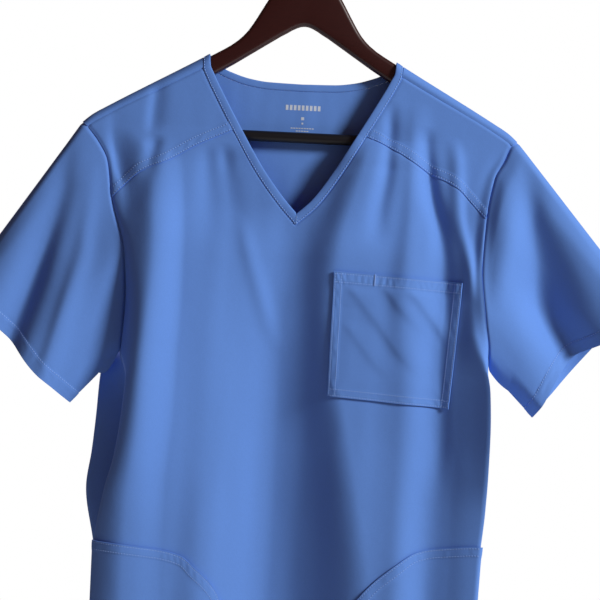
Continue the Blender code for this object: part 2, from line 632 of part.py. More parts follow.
def hanger_profile():
    """Half of the hanger's outline, from the hub's top to the middle of its lower edge, as x and drop."""
    upper = [(0, HUB_DROP), (12, HUB_DROP + 1), (22, HUB_DROP + 7), (31, -70), (40.5, -54.6), (51, -36)]
    upper += [(58, -25), (67, -16), (81, -6), (94, 1.5), (150, 35), (197, 62.7)]
    end = [(204, 68.5), (207, 76), (206.5, 85), (203, 90.5)]
    lower = [(197, -34.7 + 0.615 * 197), (120, -34.7 + 0.615 * 120), (18, -24.5), (8, -31), (0, -33)]
    return upper + end + lower


def cutter(name, radius, length, at, turned):
    bpy.ops.mesh.primitive_cylinder_add(vertices=32, radius=radius * MM, depth=length * MM)
    made = bpy.context.active_object
    made.name = name
    made.location = [value * MM for value in at]
    made.rotation_euler = turned
    made.hide_render = True
    made.display_type = "WIRE"
    return made


def hanger_frame(finish):
    """The outline extruded, its edges rounded, with a socket for the bar and one for the hook's wire."""
    half = hanger_profile()
    outline = half + [(-x, drop) for x, drop in half[-2:0:-1]]
    shape = bmesh.new()
    ring = [shape.verts.new((x * MM, -WOOD_DEPTH / 2 * MM, (SHOULDER_Z - drop) * MM)) for x, drop in outline]
    face = shape.faces.new(ring)
    grown = bmesh.ops.extrude_face_region(shape, geom=[face])
    moved = [item for item in grown["geom"] if isinstance(item, bmesh.types.BMVert)]
    bmesh.ops.translate(shape, verts=moved, vec=(0, WOOD_DEPTH * MM, 0))
    bmesh.ops.recalc_face_normals(shape, faces=shape.faces)
    rims = [edge for edge in shape.edges if abs(edge.verts[0].co.y - edge.verts[1].co.y) < 1e-6]
    bmesh.ops.bevel(shape, geom=rims, offset=4.6 * MM, segments=4, profile=0.5, affect="EDGES", clamp_overlap=True)
    mesh = bpy.data.meshes.new("hanger_frame")
    shape.to_mesh(mesh)
    shape.free()
    made = add("hanger_frame", mesh, finish)
    sideways = (0, math.pi / 2, 0)
    bar_hole = cutter("bar_socket", BAR_RADIUS + GAP, 2 * (BAR_REACH + GAP), (0, 0, SHOULDER_Z - BAR_DROP), sideways)
    wire_hole = cutter("wire_socket", WIRE_RADIUS + GAP, 40, (0, 0, SHOULDER_Z - HUB_DROP + 6), (0, 0, 0))
    for hole in (bar_hole, wire_hole):
        cut = made.modifiers.new(hole.name, "BOOLEAN")
        cut.operation = "DIFFERENCE"
        cut.object = hole
    return made


def hanger_bar(finish):
    bpy.ops.mesh.primitive_cylinder_add(vertices=24, radius=BAR_RADIUS * MM, depth=2 * BAR_REACH * MM)
    made = bpy.context.active_object
    made.name = "hanger_bar"
    made.location = (0, 0, (SHOULDER_Z - BAR_DROP) * MM)
    made.rotation_euler = (0, math.pi / 2, 0)
    made.data.materials.append(finish)
    return made


def hanger_hook(finish):
    """A straight shank out of the hub, a bend to one side and three quarters of a circle over the rail."""
    centre = WIRE_RADIUS - HOOK_RADIUS
    points = [(0, SHOULDER_Z - HUB_DROP - 12), (0, -58), (0, -54), (2.5, -49), (8, -43.5)]
    for degrees in np.linspace(-50, 215, 20):
        angle = math.radians(degrees)
        points.append((HOOK_RADIUS * math.cos(angle), centre + HOOK_RADIUS * math.sin(angle)))
    line = bpy.data.curves.new("hanger_hook", "CURVE")
    line.dimensions = "3D"
    line.bevel_depth = WIRE_RADIUS * MM
    line.bevel_resolution = 3
    line.use_fill_caps = True
    path = line.splines.new("POLY")
    path.points.add(len(points) - 1)
    for point, (x, z) in zip(path.points, points):
        point.co = (x * MM, 0, z * MM, 1)
    return add("hanger_hook", line, finish)


def main():
    for item in list(bpy.data.objects):
        bpy.data.objects.remove(item)
    blue = material("scrub cloth", (0.10, 0.25, 0.66), 0.8)
    wood = material("mahogany stain", (0.030, 0.003, 0.003), 0.35)
    black = material("bar black", (0.002, 0.003, 0.006), 0.5)
    steel = material("hook steel", (0.55, 0.55, 0.56), 0.25, 1.0)
    front_body(blue)
    back_body(blue)
    for hand, side in (("left", -1), ("right", 1)):
        front_yoke("front_yoke_" + hand, side, blue)
        sleeve("sleeve_" + hand, side, blue)
        front_band("neckband_front_" + hand, side, blue)
        lower_pocket("lower_pocket_" + hand, side, blue)
    back_band(blue)
    chest_pocket(blue)
    hanger_frame(wood)
    hanger_bar(black)
    hanger_hook(steel)


main()
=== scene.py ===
"""The looks of a scrub top on a wooden hanger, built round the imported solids.

The frame is the solids' own: the origin is the inner top of the hook, +X is the wearer's left, -Y the front and +Z up.
Lengths in the tables are in millimetres. "Drop" is the distance below the high shoulder points, and "out" is the
distance in front of the hanger's middle plane (behind it, for the back).
"""

import math

import bmesh
import bpy
import numpy as np
from mathutils import Matrix, Vector

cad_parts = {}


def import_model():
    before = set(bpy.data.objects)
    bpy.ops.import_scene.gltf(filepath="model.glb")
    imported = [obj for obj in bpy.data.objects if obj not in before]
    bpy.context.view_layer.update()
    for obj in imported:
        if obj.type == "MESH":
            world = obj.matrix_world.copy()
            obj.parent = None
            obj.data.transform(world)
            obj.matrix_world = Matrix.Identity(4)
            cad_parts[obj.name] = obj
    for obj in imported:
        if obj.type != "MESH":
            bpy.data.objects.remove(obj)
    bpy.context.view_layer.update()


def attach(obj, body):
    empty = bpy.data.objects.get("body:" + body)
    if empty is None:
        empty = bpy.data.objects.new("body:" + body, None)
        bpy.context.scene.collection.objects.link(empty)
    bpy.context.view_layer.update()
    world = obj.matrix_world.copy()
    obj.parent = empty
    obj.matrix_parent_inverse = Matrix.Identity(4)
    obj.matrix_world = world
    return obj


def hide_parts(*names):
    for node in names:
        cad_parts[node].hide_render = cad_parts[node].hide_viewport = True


MM = 0.001
SHOULDER_Z = -150.0
HEM_DROP = 690.0
UNDERARM_DROP = 304.0
YOKE_DROP = 150.0
CLOTH = 1.3
BINDING = 2.2
GAP = 0.3
BINDING_WIDTH = 8.7
RIDGE = 9.5
SHOULDER_BLEND = 170.0
NECK_SIDE = 102.0
SHOULDER_END = 221.0
SEAM_START, SEAM_END = 101.0, 215.0
POCKET_TOP, POCKET_FOOT = 215.0, 341.0

BAR_RADIUS, BAR_DROP, BAR_REACH = 5.5, 80.5, 196.0
WOOD_DEPTH, HUB_DROP = 12.0, -88.0
WIRE_RADIUS, HOOK_RADIUS = 2.0, 22.0


def table(names, *rows):
    return {name: np.array(column, float) for name, column in zip(names.split(), zip(*rows))}


SHOULDER = table("x drop", (0, -57), (95, 0), (197, 58), (211, 66.5), (221, 75), (240, 94))

FRONT = table(
    "drop left_edge left_lip left_crest left_flank right_flank right_lip right_edge"
    " left_edge_out left_lip_out left_crest_out middle_out right_lip_out right_edge_out",
    (75, -221, -205, -178, -127, 180, 206, 221, 9.5, 10, 11, 12, 9.5, 10),
    (79.4, -215, -200, -174, -126, 176, 200, 215, 9, 10, 14, 13, 10, 10),
    (95, -202, -190, -158, -121, 170, 194, 208, 7.5, 10, 24, 13.5, 11, 14),
    (112, -193, -183, -150, -116, 165, 186, 199, 8, 12, 29, 11, 12, 17),
    (150, -187, -176, -145, -112, 163, 180, 192, 12, 18, 33, 11, 15, 21),
    (204, -171, -162, -141, -110, 168, 180, 189, 22, 31, 40, 19, 22, 25),
    (254, -168, -159, -143, -110, 169, 183, 194, 18, 36, 45, 20, 27, 31),
    (287, -169, -160, -145, -111, 168, 190, 199, 18, 37, 47, 20, 33, 29),
    (304, -170, -161, -146, -112, 168, 196, 199.5, 14, 37, 47, 20, 36, 22),
    (330, -163, -161.5, -147, -112, 169, 201, 195, 4, 36, 47, 20, 40, 4),
    (370, -150, -164.5, -149, -113, 170, 202.5, 186, -6, 35, 46, 20, 41, -8),
    (410, -156, -170, -153, -116, 169, 202, 186, -10, 33, 44, 21, 39, -8),
    (446, -178, -179, -157, -118, 167, 201, 187, -12, 28, 40, 22, 33, -8),
    (500, -184, -187, -158, -118, 168, 197, 189, -6, 20, 35, 24, 30, -5),
    (600, -182, -187, -156, -116, 168, 194.5, 189, -4, 18, 33, 25, 29, -4),
    (690, -180, -186, -155, -116, 167, 194, 188, -4, 17, 32, 26, 29, -4),
)

BACK = table(
    "drop left_edge left_lip left_crest left_flank right_flank right_lip right_edge"
    " left_edge_out left_lip_out left_crest_out middle_out right_lip_out right_edge_out",
    (75, -221, -205, -188, -150, 180, 205, 221, 9.5, 10, 10, 8, 10, 9.5),
    (99, -210, -196, -179, -144, 171, 196, 210, 12, 14, 14, 8.5, 14, 12),
    (144, -199, -184, -167, -134, 159, 184, 199, 20, 23, 22, 9.5, 23, 20),
    (190, -192, -177, -160, -128, 152, 177, 192, 26, 29, 28, 16, 29, 26),
    (250, -186, -171, -154, -124, 149, 173, 190, 22, 33, 34, 27, 33, 8),
    (278, -180, -170, -154, -124, 154, 180, 195, 4, 33, 35, 31, 30, -10),
    (304, -170, -176, -159, -126, 160, 190, 199.5, -14, 31, 36, 34, 27, -22),
    (330, -163, -194, -175, -138, 168, 196, 195, -4, 26, 34, 36, 24, -4),
    (370, -150, -196, -179, -142, 171, 196, 186, 6, 22, 33, 40, 22, 8),
    (410, -156, -199, -182, -146, 171, 196, 186, 10, 22, 33, 41, 22, 8),
    (446, -178, -203, -185, -147, 171, 196, 187, 12, 22, 33, 42, 22, 8),
    (512, -184, -192, -174, -138, 169, 194, 189, 6, 22, 34, 43, 22, 5),
    (600, -182, -187, -170, -136, 167, 192, 189, 4, 24, 36, 45, 22, 4),
    (690, -180, -186, -169, -135, 166, 191, 188, 4, 26, 38, 47, 24, 4),
)

CUFF = table(
    "share left_x left_drop left_out right_x right_drop right_out left_back right_back",
    (0.00, -334, 245, 4, 350, 233, 26, -4, -26),
    (0.12, -321, 259, 22, 338, 249, 36, 18, 4),
    (0.30, -301, 281, 31, 318, 272, 33, 31, 26),
    (0.50, -276, 304, 36, 289, 289, 22, 33, 32),
    (0.68, -256, 327, 38, 272, 310, 28, 26, 30),
    (0.88, -234, 346, 30, 257, 340, 22, 4, 18),
    (1.00, -220, 359, 14, 250, 353, 4, -14, -4),
)

NECKLINE = table(
    "drop left_x right_x",
    (4, 102, 102),
    (15, 101, 101),
    (24.5, 97, 97),
    (47, 85, 85),
    (76, 68.5, 68.5),
    (119.5, 42, 43),
    (149.5, 19, 22),
    (170, 0, 0),
)
BACK_NECKLINE = table(
    "x drop", (0, 32.5), (35, 31.5), (54, 29), (76, 22.5), (90, 16), (97, 11.5), (100.4, 8), (101.5, 5.3), (102, 4.27)
)
YOKE_SEAM = table("x drop", (68, 77), (102, 93), (134, 112), (157, 122), (187, 150), (200, 165))
FORWARD_SEAM = table("x below_shoulder", (101, 11.5), (140, 10.5), (190, 9), (215, 9.5))

# The entries of the lower pockets. The right one is cut higher at the side.
POCKET_ENTRY = {
    "left": table(
        "x drop", (52, 575), (58, 556), (64, 541), (84, 519), (99, 507), (125, 501), (180, 496), (230, 496)
    ),
    "right": table(
        "x drop", (60, 575), (70, 556), (79, 541), (90, 527), (103, 515), (135, 492), (165, 486), (196, 482), (230, 482)
    ),
}

CREASE = "drop x left right height"
# Each crease runs down the cloth: its middle, the spread on either side of it, and how far it stands out.
FRONT_CREASES = [
    # the deep valley under the V: a fall from the left, then a rise to the right that wanders outward
    table(CREASE, (150, 0, 30, 600, 0), (200, 0, 40, 600, -9), (260, -6, 44, 600, -16), (320, -8, 46, 600, -20),
          (440, -8, 46, 600, -23), (690, -6, 48, 600, -26)),
    table(CREASE, (150, 50, 30, 600, 0), (200, 46, 28, 600, 9), (240, 42, 26, 600, 14), (280, 46, 28, 600, 18), (320, 50, 31, 600, 21),
          (380, 63, 38, 600, 26), (440, 75, 45, 600, 33), (530, 90, 54, 600, 38), (690, 96, 58, 600, 40)),
    table(CREASE, (150, -82, 16, 16, 0), (210, -80, 16, 18, 2), (280, -80, 17, 20, 2), (400, -78, 18, 20, 2), (480, -80, 17, 22, 4),
          (690, -78, 18, 24, 5)),
    # folds that start on the left shoulder
    table(CREASE, (18, -146, 5, 8, 0), (40, -147, 6, 9, -2.2), (66, -149, 6, 10, -2.6), (90, -150, 6, 9, 0)),
    table(CREASE, (50, -190, 6, 14, 0), (78, -188, 7, 16, -1.4), (94, -187, 7, 17, -3.2), (112, -185, 7, 18, -4.5), (150, -170, 7, 14, -2), (175, -168, 7, 12, 0)),
    # puckered gathers beside the left yoke
    table(CREASE, (84, -146, 8, 8, 0), (96, -147, 8, 8, -4), (110, -149, 8, 8, -4), (135, -152, 9, 9, -1.5), (160, -155, 9, 9, 0)),
    table(CREASE, (90, -92, 9, 10, 0), (105, -92, 9, 10, -2), (130, -90, 11, 12, -2.6), (175, -88, 14, 16, -1), (230, -86, 16, 18, 0)),
    table(CREASE, (90, -75, 7, 8, 0), (105, -74, 7, 8, -2.4), (130, -70, 9, 10, -2), (180, -60, 10, 12, 0)),
    # a slanting soft crease from beside the V to the valley
    table(CREASE, (160, -57, 7, 8, 0), (200, -46, 8, 9, 1.8), (250, -30, 9, 9, 2), (300, -16, 9, 9, 0)),
    # the soft ridge that follows the right side of the V
    table(CREASE, (80, 76, 14, 50, 0), (92, 71, 16, 50, 6.5), (104, 68, 18, 50, 10), (120, 64, 20, 50, 13), (150, 56, 23, 46, 14), (180, 47, 24, 40, 10),
          (215, 41, 26, 36, 4), (250, 40, 26, 36, 0)),
    # folds that start on the right shoulder
    table(CREASE, (40, 92, 7, 7, 0), (70, 92, 7, 7, -3.5), (90, 91, 7, 7, -3.5), (110, 90, 8, 8, -5), (150, 84, 10, 9, -4), (190, 80, 12, 12, 0)),
    table(CREASE, (40, 118, 9, 12, 0), (75, 116, 9, 12, 2), (150, 116, 9, 13, 3), (240, 112, 12, 14, 3), (320, 118, 12, 14, 2),
          (690, 116, 14, 16, 3)),
    table(CREASE, (64, 128, 9, 7, 0), (80, 129, 9, 7, -3), (92, 130, 9, 7, -4), (130, 136, 10, 8, -7), (170, 147, 10, 9, -7), (230, 154, 20, 12, -9),
          (300, 150, 20, 14, -9), (380, 154, 22, 14, -9), (450, 148, 22, 24, -8), (690, 150, 22, 26, -8)),
    table(CREASE, (74, 156, 8, 6, 0), (100, 160, 8, 7, 3), (150, 164, 8, 6, 4), (200, 176, 7, 5, 4), (240, 182, 7, 5, 0)),
    # the body dips into the right armhole
    table(CREASE, (80, 216, 8, 9, 0), (96, 207, 9, 9, -3), (112, 199, 9, 9, -4), (150, 192, 9, 9, -4), (180, 189, 9, 9, -4),
          (204, 189, 8, 9, -3), (240, 192, 7, 9, 0)),
    # the hem's own waves
    table(CREASE, (540, -116, 20, 22, 0), (690, -118, 22, 24, -6)),
    table(CREASE, (540, 66, 22, 22, 0), (690, 66, 22, 24, 5)),
]
LEFT_SLEEVE_CREASES = [
    table(CREASE, (80, -226, 8, 7, 0), (105, -233, 12, 9, -5), (150, -240, 16, 13, -8), (200, -252, 20, 13, -11),
          (240, -263, 22, 14, -14), (300, -282, 24, 16, -15), (360, -300, 24, 16, -15)),
    table(CREASE, (90, -206, 8, 8, 0), (130, -206, 9, 9, 2), (200, -212, 9, 10, 3), (260, -226, 8, 12, 4), (360, -250, 9, 14, 4)),
]
RIGHT_SLEEVE_CREASES = [
    table(CREASE, (80, 226, 8, 8, 0), (105, 229, 10, 12, -5), (150, 238, 16, 14, -11), (180, 245, 20, 22, -15), (200, 250, 23, 26, -17),
          (240, 261, 28, 30, -20), (290, 286, 34, 30, -18), (360, 300, 34, 30, -14)),
    table(CREASE, (86, 210, 6, 9, 0), (120, 208, 6, 11, 5), (200, 204, 8, 16, 5), (250, 202, 9, 20, 0)),
]
BACK_CREASES = [
    table(CREASE, (100, -140, 16, 16, 0), (200, -143, 18, 18, 4), (690, -150, 24, 24, 5)),
    table(CREASE, (90, -104, 14, 16, 0), (240, -107, 18, 18, -8), (690, -112, 24, 24, -9)),
    table(CREASE, (110, -30, 22, 24, 0), (280, -34, 26, 26, 6), (690, -44, 30, 30, 7)),
    table(CREASE, (130, 24, 16, 18, 0), (300, 22, 20, 20, -8), (690, 20, 26, 26, -9)),
    table(CREASE, (100, 84, 18, 20, 0), (280, 80, 22, 22, 7), (690, 76, 26, 26, 7)),
    table(CREASE, (90, 132, 12, 14, 0), (250, 132, 15, 16, -7), (690, 134, 20, 20, -8)),
    table(CREASE, (85, -222, 8, 8, 0), (240, -250, 14, 14, -8), (360, -274, 20, 20, -9)),
    table(CREASE, (85, 222, 8, 8, 0), (240, 250, 14, 14, -8), (360, 276, 20, 20, -9)),
]

EDGE, LIP, CREST, FLANK, FALL = 1.0, 0.92, 0.85, 0.82, 0.70

# How far the front and the back layer of each sleeve sag below the straight line under the arm, in millimetres.
UNDER_SAG = {"left": (-3.0, 11.0), "right": (2.6, 3.0)}


def slopes(knots, values):
    """The slopes of a monotone cubic through values at knots. Values may be a row of columns."""
    step = np.diff(knots)
    step = step.reshape((-1,) + (1,) * (values.ndim - 1))
    secant = np.diff(values, axis=0) / step
    inner = np.zeros_like(values)
    before, after = secant[:-1], secant[1:]
    same = before * after > 0
    total = np.where(same, before + after, 1.0)
    inner[1:-1] = np.where(same, 2 * before * after / total, 0.0)
    inner[0], inner[-1] = secant[0], secant[-1]
    return inner


def hermite(knots, values, slope, at):
    i = np.clip(np.searchsorted(knots, at, side="right") - 1, 0, len(knots) - 2)
    step = knots[i + 1] - knots[i]
    t = (at - knots[i]) / step
    column = np.arange(len(at)) if values.ndim > 1 else None

    def pick(rows, index):
        return rows[index] if column is None else rows[index, column]

    low, high = pick(values, i), pick(values, i + 1)
    rise, fall = pick(slope, i) * step, pick(slope, i + 1) * step
    h = 2 * t**3 - 3 * t**2 + 1
    return h * low + (1 - h) * high + (t**3 - 2 * t**2 + t) * rise + (t**3 - t**2) * fall


def read(source, key, name, at):
    """A column of a table, smoothly between its rows and constant past its ends."""
    at = np.asarray(at, float)
    knots, values = source[key], source[name]
    flat = np.clip(at.ravel(), knots[0], knots[-1])
    return hermite(knots, values, slopes(knots, values), flat).reshape(at.shape)


def smoothstep(t):
    t = np.clip(t, 0, 1)
    return t * t * (3 - 2 * t)


def bump(t):
    return np.exp(-np.square(t))


def roll(under):
    """How far the cloth stands out from the hanger's middle, this far under the shoulder line."""
    return np.sqrt(np.maximum(RIDGE**2 - np.clip(RIDGE - under, 0, RIDGE) ** 2, 0))


def shoulder_drop(x):
    return read(SHOULDER, "x", "drop", np.abs(x))


def section(levels, column, drop):
    """x and out of the section at this drop, at a column from -1, the left seam, to 1, the right seam."""
    column, drop = np.broadcast_arrays(np.asarray(column, float), np.asarray(drop, float))
    shape, column, drop = column.shape, column.ravel(), drop.ravel()

    def level(name):
        own = read(levels, "drop", name, drop)
        if levels is FRONT or "edge" not in name:
            return own
        joined = read(FRONT, "drop", name, drop) * (-1 if name.endswith("out") else 1)
        return np.where(drop > UNDERARM_DROP, joined, own)

    left, right = level("left_flank"), level("right_flank")
    middle, crest, right_lip = level("middle_out"), level("left_crest_out"), level("right_lip_out")
    knots = np.array([-EDGE, -LIP, -CREST, -FALL, -0.41, 0, 0.41, FLANK, LIP, EDGE])
    x = [level("left_edge"), level("left_lip"), level("left_crest"), left, left * 0.58, 0 * left, right / 2, right]
    x = np.array(x + [level("right_lip"), level("right_edge")])
    out = [level("left_edge_out"), level("left_lip_out"), crest, 0.72 * middle + 0.28 * crest, middle, middle, middle]
    out = np.array(out + [0.8 * middle + 0.2 * right_lip, right_lip, level("right_edge_out")])
    turn = smoothstep((drop - 250) / 70)
    x_slope, out_slope = slopes(knots, x), slopes(knots, out)
    x_slope[0], x_slope[-1] = x_slope[0] * (1 - turn), x_slope[-1] * (1 - turn)
    x = hermite(knots, x, x_slope, column)
    return x.reshape(shape), hermite(knots, out, out_slope, column).reshape(shape)


def relief(creases, x, drop):
    x, drop = np.broadcast_arrays(x, drop)
    out = np.zeros(x.shape)
    for one in creases:
        away = x - read(one, "drop", "x", drop)
        spread = np.where(away < 0, read(one, "drop", "left", drop), read(one, "drop", "right", drop))
        out += read(one, "drop", "height", drop) * bump(away / spread)
    return out


def ripple(x, drop, seed, size, stretch=2.5):
    """Slow unevenness, longer down the cloth than across it, from -1 to 1."""
    draw = np.random.default_rng(seed)
    total = np.zeros(np.broadcast(x, drop).shape)
    for _ in range(7):
        turn, phase, scale = draw.uniform(-0.6, 0.6), draw.uniform(0, 2 * math.pi), draw.uniform(0.7, 1.6)
        across = (np.cos(turn) * x + np.sin(turn) * drop / stretch) / (size * scale)
        total = total + np.sin(2 * math.pi * across + phase)
    return total / 7


def surface(levels, creases, side, column, drop):
    """A point of the front (side -1) or of the back (side 1)."""
    x, out = section(levels, column, drop)
    drop = np.broadcast_to(drop, x.shape)
    under = drop - shoulder_drop(x)
    keep = smoothstep((1 - np.abs(column)) / 0.1)
    uneven = smoothstep(under / 60) * (0.8 * ripple(x, drop, 3 + side, 70) + 0.25 * ripple(x, drop, 8 + side, 26))
    full = smoothstep(under / SHOULDER_BLEND)
    out = roll(under) + (out - RIDGE) * full + keep * (relief(creases, x, drop) + uneven)
    return np.stack([x, side * out, SHOULDER_Z - drop], axis=-1)


def front(column, drop):
    return surface(FRONT, FRONT_CREASES, -1, column, drop)


def back(column, drop):
    return surface(BACK, BACK_CREASES, 1, column, drop)


def column_at(levels, x, drop):
    """The column that passes through x, above the underarm, where there is one."""
    low, high = np.full(np.shape(x), -1.0), np.full(np.shape(x), 1.0)
    for _ in range(22):
        middle = (low + high) / 2
        right = section(levels, middle, drop)[0] < x
        low, high = np.where(right, middle, low), np.where(right, high, middle)
    return (low + high) / 2


def front_at(x, drop):
    x, drop = np.broadcast_arrays(np.asarray(x, float), np.asarray(drop, float))
    return front(column_at(FRONT, x, drop), drop)


def back_at(x, drop):
    x, drop = np.broadcast_arrays(np.asarray(x, float), np.asarray(drop, float))
    return back(column_at(BACK, x, drop), drop)


def unit(vectors):
    return vectors / np.maximum(np.linalg.norm(vectors, axis=-1, keepdims=True), 1e-9)


def normals(points, closed=False):
    down = np.gradient(points, axis=0)
    if closed:
        across = np.roll(points, -1, axis=1) - np.roll(points, 1, axis=1)
    else:
        across = np.gradient(points, axis=1)
    return unit(np.cross(across, down))


def facing(points, side):
    """Unit normals turned to the front (side -1) or to the back (side 1)."""
    out = normals(points)
    return out * np.where(out[..., 1:2] * side < 0, -1.0, 1.0)


def lines_from(points, side):
    """The grid with its rows running in from a side."""
    return {
        "top": points,
        "bottom": points[::-1],
        "left": points.transpose(1, 0, 2),
        "right": points.transpose(1, 0, 2)[::-1],
    }[side]


def depth_from(points, side):
    """How far in from a side each point of the grid is, along the cloth."""
    lines = lines_from(points, side)
    steps = np.linalg.norm(np.diff(lines, axis=0), axis=-1)
    depth = np.concatenate([np.zeros((1, lines.shape[1])), np.cumsum(steps, axis=0)])
    back_again = {"top": depth, "bottom": depth[::-1], "left": depth.T, "right": depth[::-1].T}
    return back_again[side]


def inset(points, out, side, by, start=0, end=None):
    """The line that runs this far in from a side, and the normals along it."""
    lines, facing_out = lines_from(points, side), lines_from(out, side)
    steps = np.linalg.norm(np.diff(lines, axis=0), axis=-1)
    depth = np.concatenate([np.zeros((1, lines.shape[1])), np.cumsum(steps, axis=0)])
    by = np.broadcast_to(by, (lines.shape[1],))
    made, turned = [], []
    for j in range(lines.shape[1])[start:end]:
        made.append([np.interp(by[j], depth[:, j], lines[:, j, k]) for k in range(3)])
        turned.append([np.interp(by[j], depth[:, j], facing_out[:, j, k]) for k in range(3)])
    return np.array(made), unit(np.array(turned))


def graded(count, length, fine, ends):
    """Shares from 0 to 1 along a length, with fine steps near the chosen ends ("start", "end" or "both")."""
    at = np.linspace(0, 1, 2001)
    step = np.full(at.shape, length / count)
    for end, name in ((at, "start"), (1 - at, "end")):
        if ends in (name, "both"):
            near = fine + np.maximum(end * length - 10.5, 0) * 0.25
            step = np.minimum(step, near)
    walked = np.concatenate([[0], np.cumsum((1 / step[1:] + 1 / step[:-1]) / 2)])
    pieces = int(math.ceil(walked[-1] * (at[1] - at[0]) * length))
    return np.interp(np.linspace(0, walked[-1], pieces + 1), walked, at)


def coons(top, bottom, left, right, across, down):
    """A grid of flat points inside four sides that share their corners."""
    across, down = across[None, :, None], down[:, None, None]
    ruled = (1 - down) * top[None] + down * bottom[None] + (1 - across) * left[:, None] + across * right[:, None]
    corners = (1 - down) * ((1 - across) * top[0] + across * top[-1])
    return ruled - corners - down * ((1 - across) * bottom[0] + across * bottom[-1])


# ---------------------------------------------------------------- meshes


def place(name, mesh, finish, slot, replaces=()):
    made = bpy.data.objects.new(f"{name}_{slot}", mesh)
    bpy.context.scene.collection.objects.link(made)
    mesh.materials.append(finish)
    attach(made, "root")
    if replaces:
        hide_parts(*replaces)
    return made


def smooth(mesh, degrees):
    mesh.shade_smooth()
    mesh.set_sharp_from_angle(angle=math.radians(degrees))


def grid_faces(rows, columns, first, closed):
    i, j = np.meshgrid(np.arange(rows - 1), np.arange(columns if closed else columns - 1), indexing="ij")
    k = (j + 1) % columns
    return first + np.stack([i * columns + j, (i + 1) * columns + j, (i + 1) * columns + k, i * columns + k], axis=-1).reshape(-1, 4)


def cloth(name, grids, wall, finish, slot, replaces, closed=False):
    """A wall of cloth round the middle surface that the grids give. Grids of one piece share their edge points."""
    points, faces, first = [], [], 0
    for grid in grids:
        rows, columns = grid.shape[:2]
        faces.append(grid_faces(rows, columns, first, closed))
        points.append(grid.reshape(-1, 3))
        first += rows * columns
    mesh = bpy.data.meshes.new(name)
    mesh.from_pydata((np.concatenate(points) * MM).tolist(), [], np.concatenate(faces).tolist())
    shape = bmesh.new()
    shape.from_mesh(mesh)
    bmesh.ops.remove_doubles(shape, verts=shape.verts, dist=1e-6)
    bmesh.ops.recalc_face_normals(shape, faces=shape.faces)
    shape.to_mesh(mesh)
    shape.free()
    helper = bpy.data.objects.new(name + "_middle", mesh)
    bpy.context.scene.collection.objects.link(helper)
    thicken = helper.modifiers.new("wall", "SOLIDIFY")
    thicken.thickness = wall * MM
    thicken.offset = 0
    whole = bpy.data.meshes.new_from_object(helper.evaluated_get(bpy.context.evaluated_depsgraph_get()))
    bpy.data.objects.remove(helper)
    bpy.data.meshes.remove(mesh)
    whole.name = name
    smooth(whole, 50)
    return place(name, whole, finish, slot, replaces)


def ring_mesh(name, rings, close_ends=True):
    """A skin over rings of points, closed at both ends."""
    count, around = rings.shape[:2]
    faces = grid_faces(count, around, 0, True).tolist()
    if close_ends:
        faces += [list(range(around)), [(count - 1) * around + i for i in range(around)][::-1]]
    mesh = bpy.data.meshes.new(name)
    mesh.from_pydata((rings.reshape(-1, 3) * MM).tolist(), [], faces)
    shape = bmesh.new()
    shape.from_mesh(mesh)
    bmesh.ops.recalc_face_normals(shape, faces=shape.faces)
    shape.to_mesh(mesh)
    shape.free()
    return mesh


def resampled(line, step):
    """The distance along the line, and how many even steps of about this size it holds."""
    along = np.concatenate([[0], np.cumsum(np.linalg.norm(np.diff(line, axis=0), axis=1))])
    return along, max(2, int(along[-1] / step))


class Stitches:
    """Rows of short threads lying on the cloth, joined into one piece."""

    SIDES = 5

    def __init__(self):
        self.points, self.faces, self.count = [], [], 0

    def row(self, line, out, pitch=2.8, share=0.62, width=0.42, lift=0.32):
        along, count = resampled(line, pitch)
        starts = (np.arange(count) + 0.5 - share / 2) * along[-1] / count
        ends = starts + share * along[-1] / count
        a = np.stack([np.interp(starts, along, line[:, k]) for k in range(3)], axis=-1)
        b = np.stack([np.interp(ends, along, line[:, k]) for k in range(3)], axis=-1)
        n = unit(np.stack([np.interp((starts + ends) / 2, along, out[:, k]) for k in range(3)], axis=-1))
        self.threads(a, b, n, width, lift)

    def threads(self, a, b, n, width, lift):
        side = unit(np.cross(n, b - a))
        angles = np.arange(self.SIDES) * 2 * math.pi / self.SIDES
        ring = np.cos(angles)[None, :, None] * side[:, None] * width + (np.sin(angles)[None, :, None] * lift) * n[:, None]
        low, high = (a * 0.82 + b * 0.18), (a * 0.18 + b * 0.82)
        rings = [(low + n * 0.1)[:, None] + ring, (high + n * 0.1)[:, None] + ring]
        tips = [(a - n * 0.12)[:, None], (b - n * 0.12)[:, None]]
        block = np.concatenate([tips[0], rings[0], rings[1], tips[1]], axis=1)
        m = self.SIDES
        faces = [[0, 1 + (i + 1) % m, 1 + i] for i in range(m)]
        faces += [[1 + i, 1 + (i + 1) % m, 1 + m + (i + 1) % m, 1 + m + i] for i in range(m)]
        faces += [[1 + m + i, 1 + m + (i + 1) % m, 1 + 2 * m] for i in range(m)]
        size = 2 * m + 2
        for index in range(len(block)):
            first = self.count + index * size
            self.faces += [[first + v for v in face] for face in faces]
        self.points.append(block.reshape(-1, 3))
        self.count += len(block) * size

    def bartack(self, start, end, out, width=2.4, pitch=0.55):
        """A short bar of close threads across the line from start to end."""
        start, end, out = (np.asarray(v, float) for v in (start, end, out))
        count = max(3, int(np.linalg.norm(end - start) / pitch))
        at = start + (end - start) * (np.arange(count) / (count - 1))[:, None]
        side = unit(np.cross(out, end - start)) * width / 2
        n = np.repeat(out[None], count, axis=0)
        self.threads(at - side, at + side, n, 0.26, 0.3)

    def build(self, name, finish, slot):
        mesh = bpy.data.meshes.new(name)
        mesh.from_pydata((np.concatenate(self.points) * MM).tolist(), [], self.faces)
        mesh.shade_smooth()
        return place(name, mesh, finish, slot)


# ---------------------------------------------------------------- materials


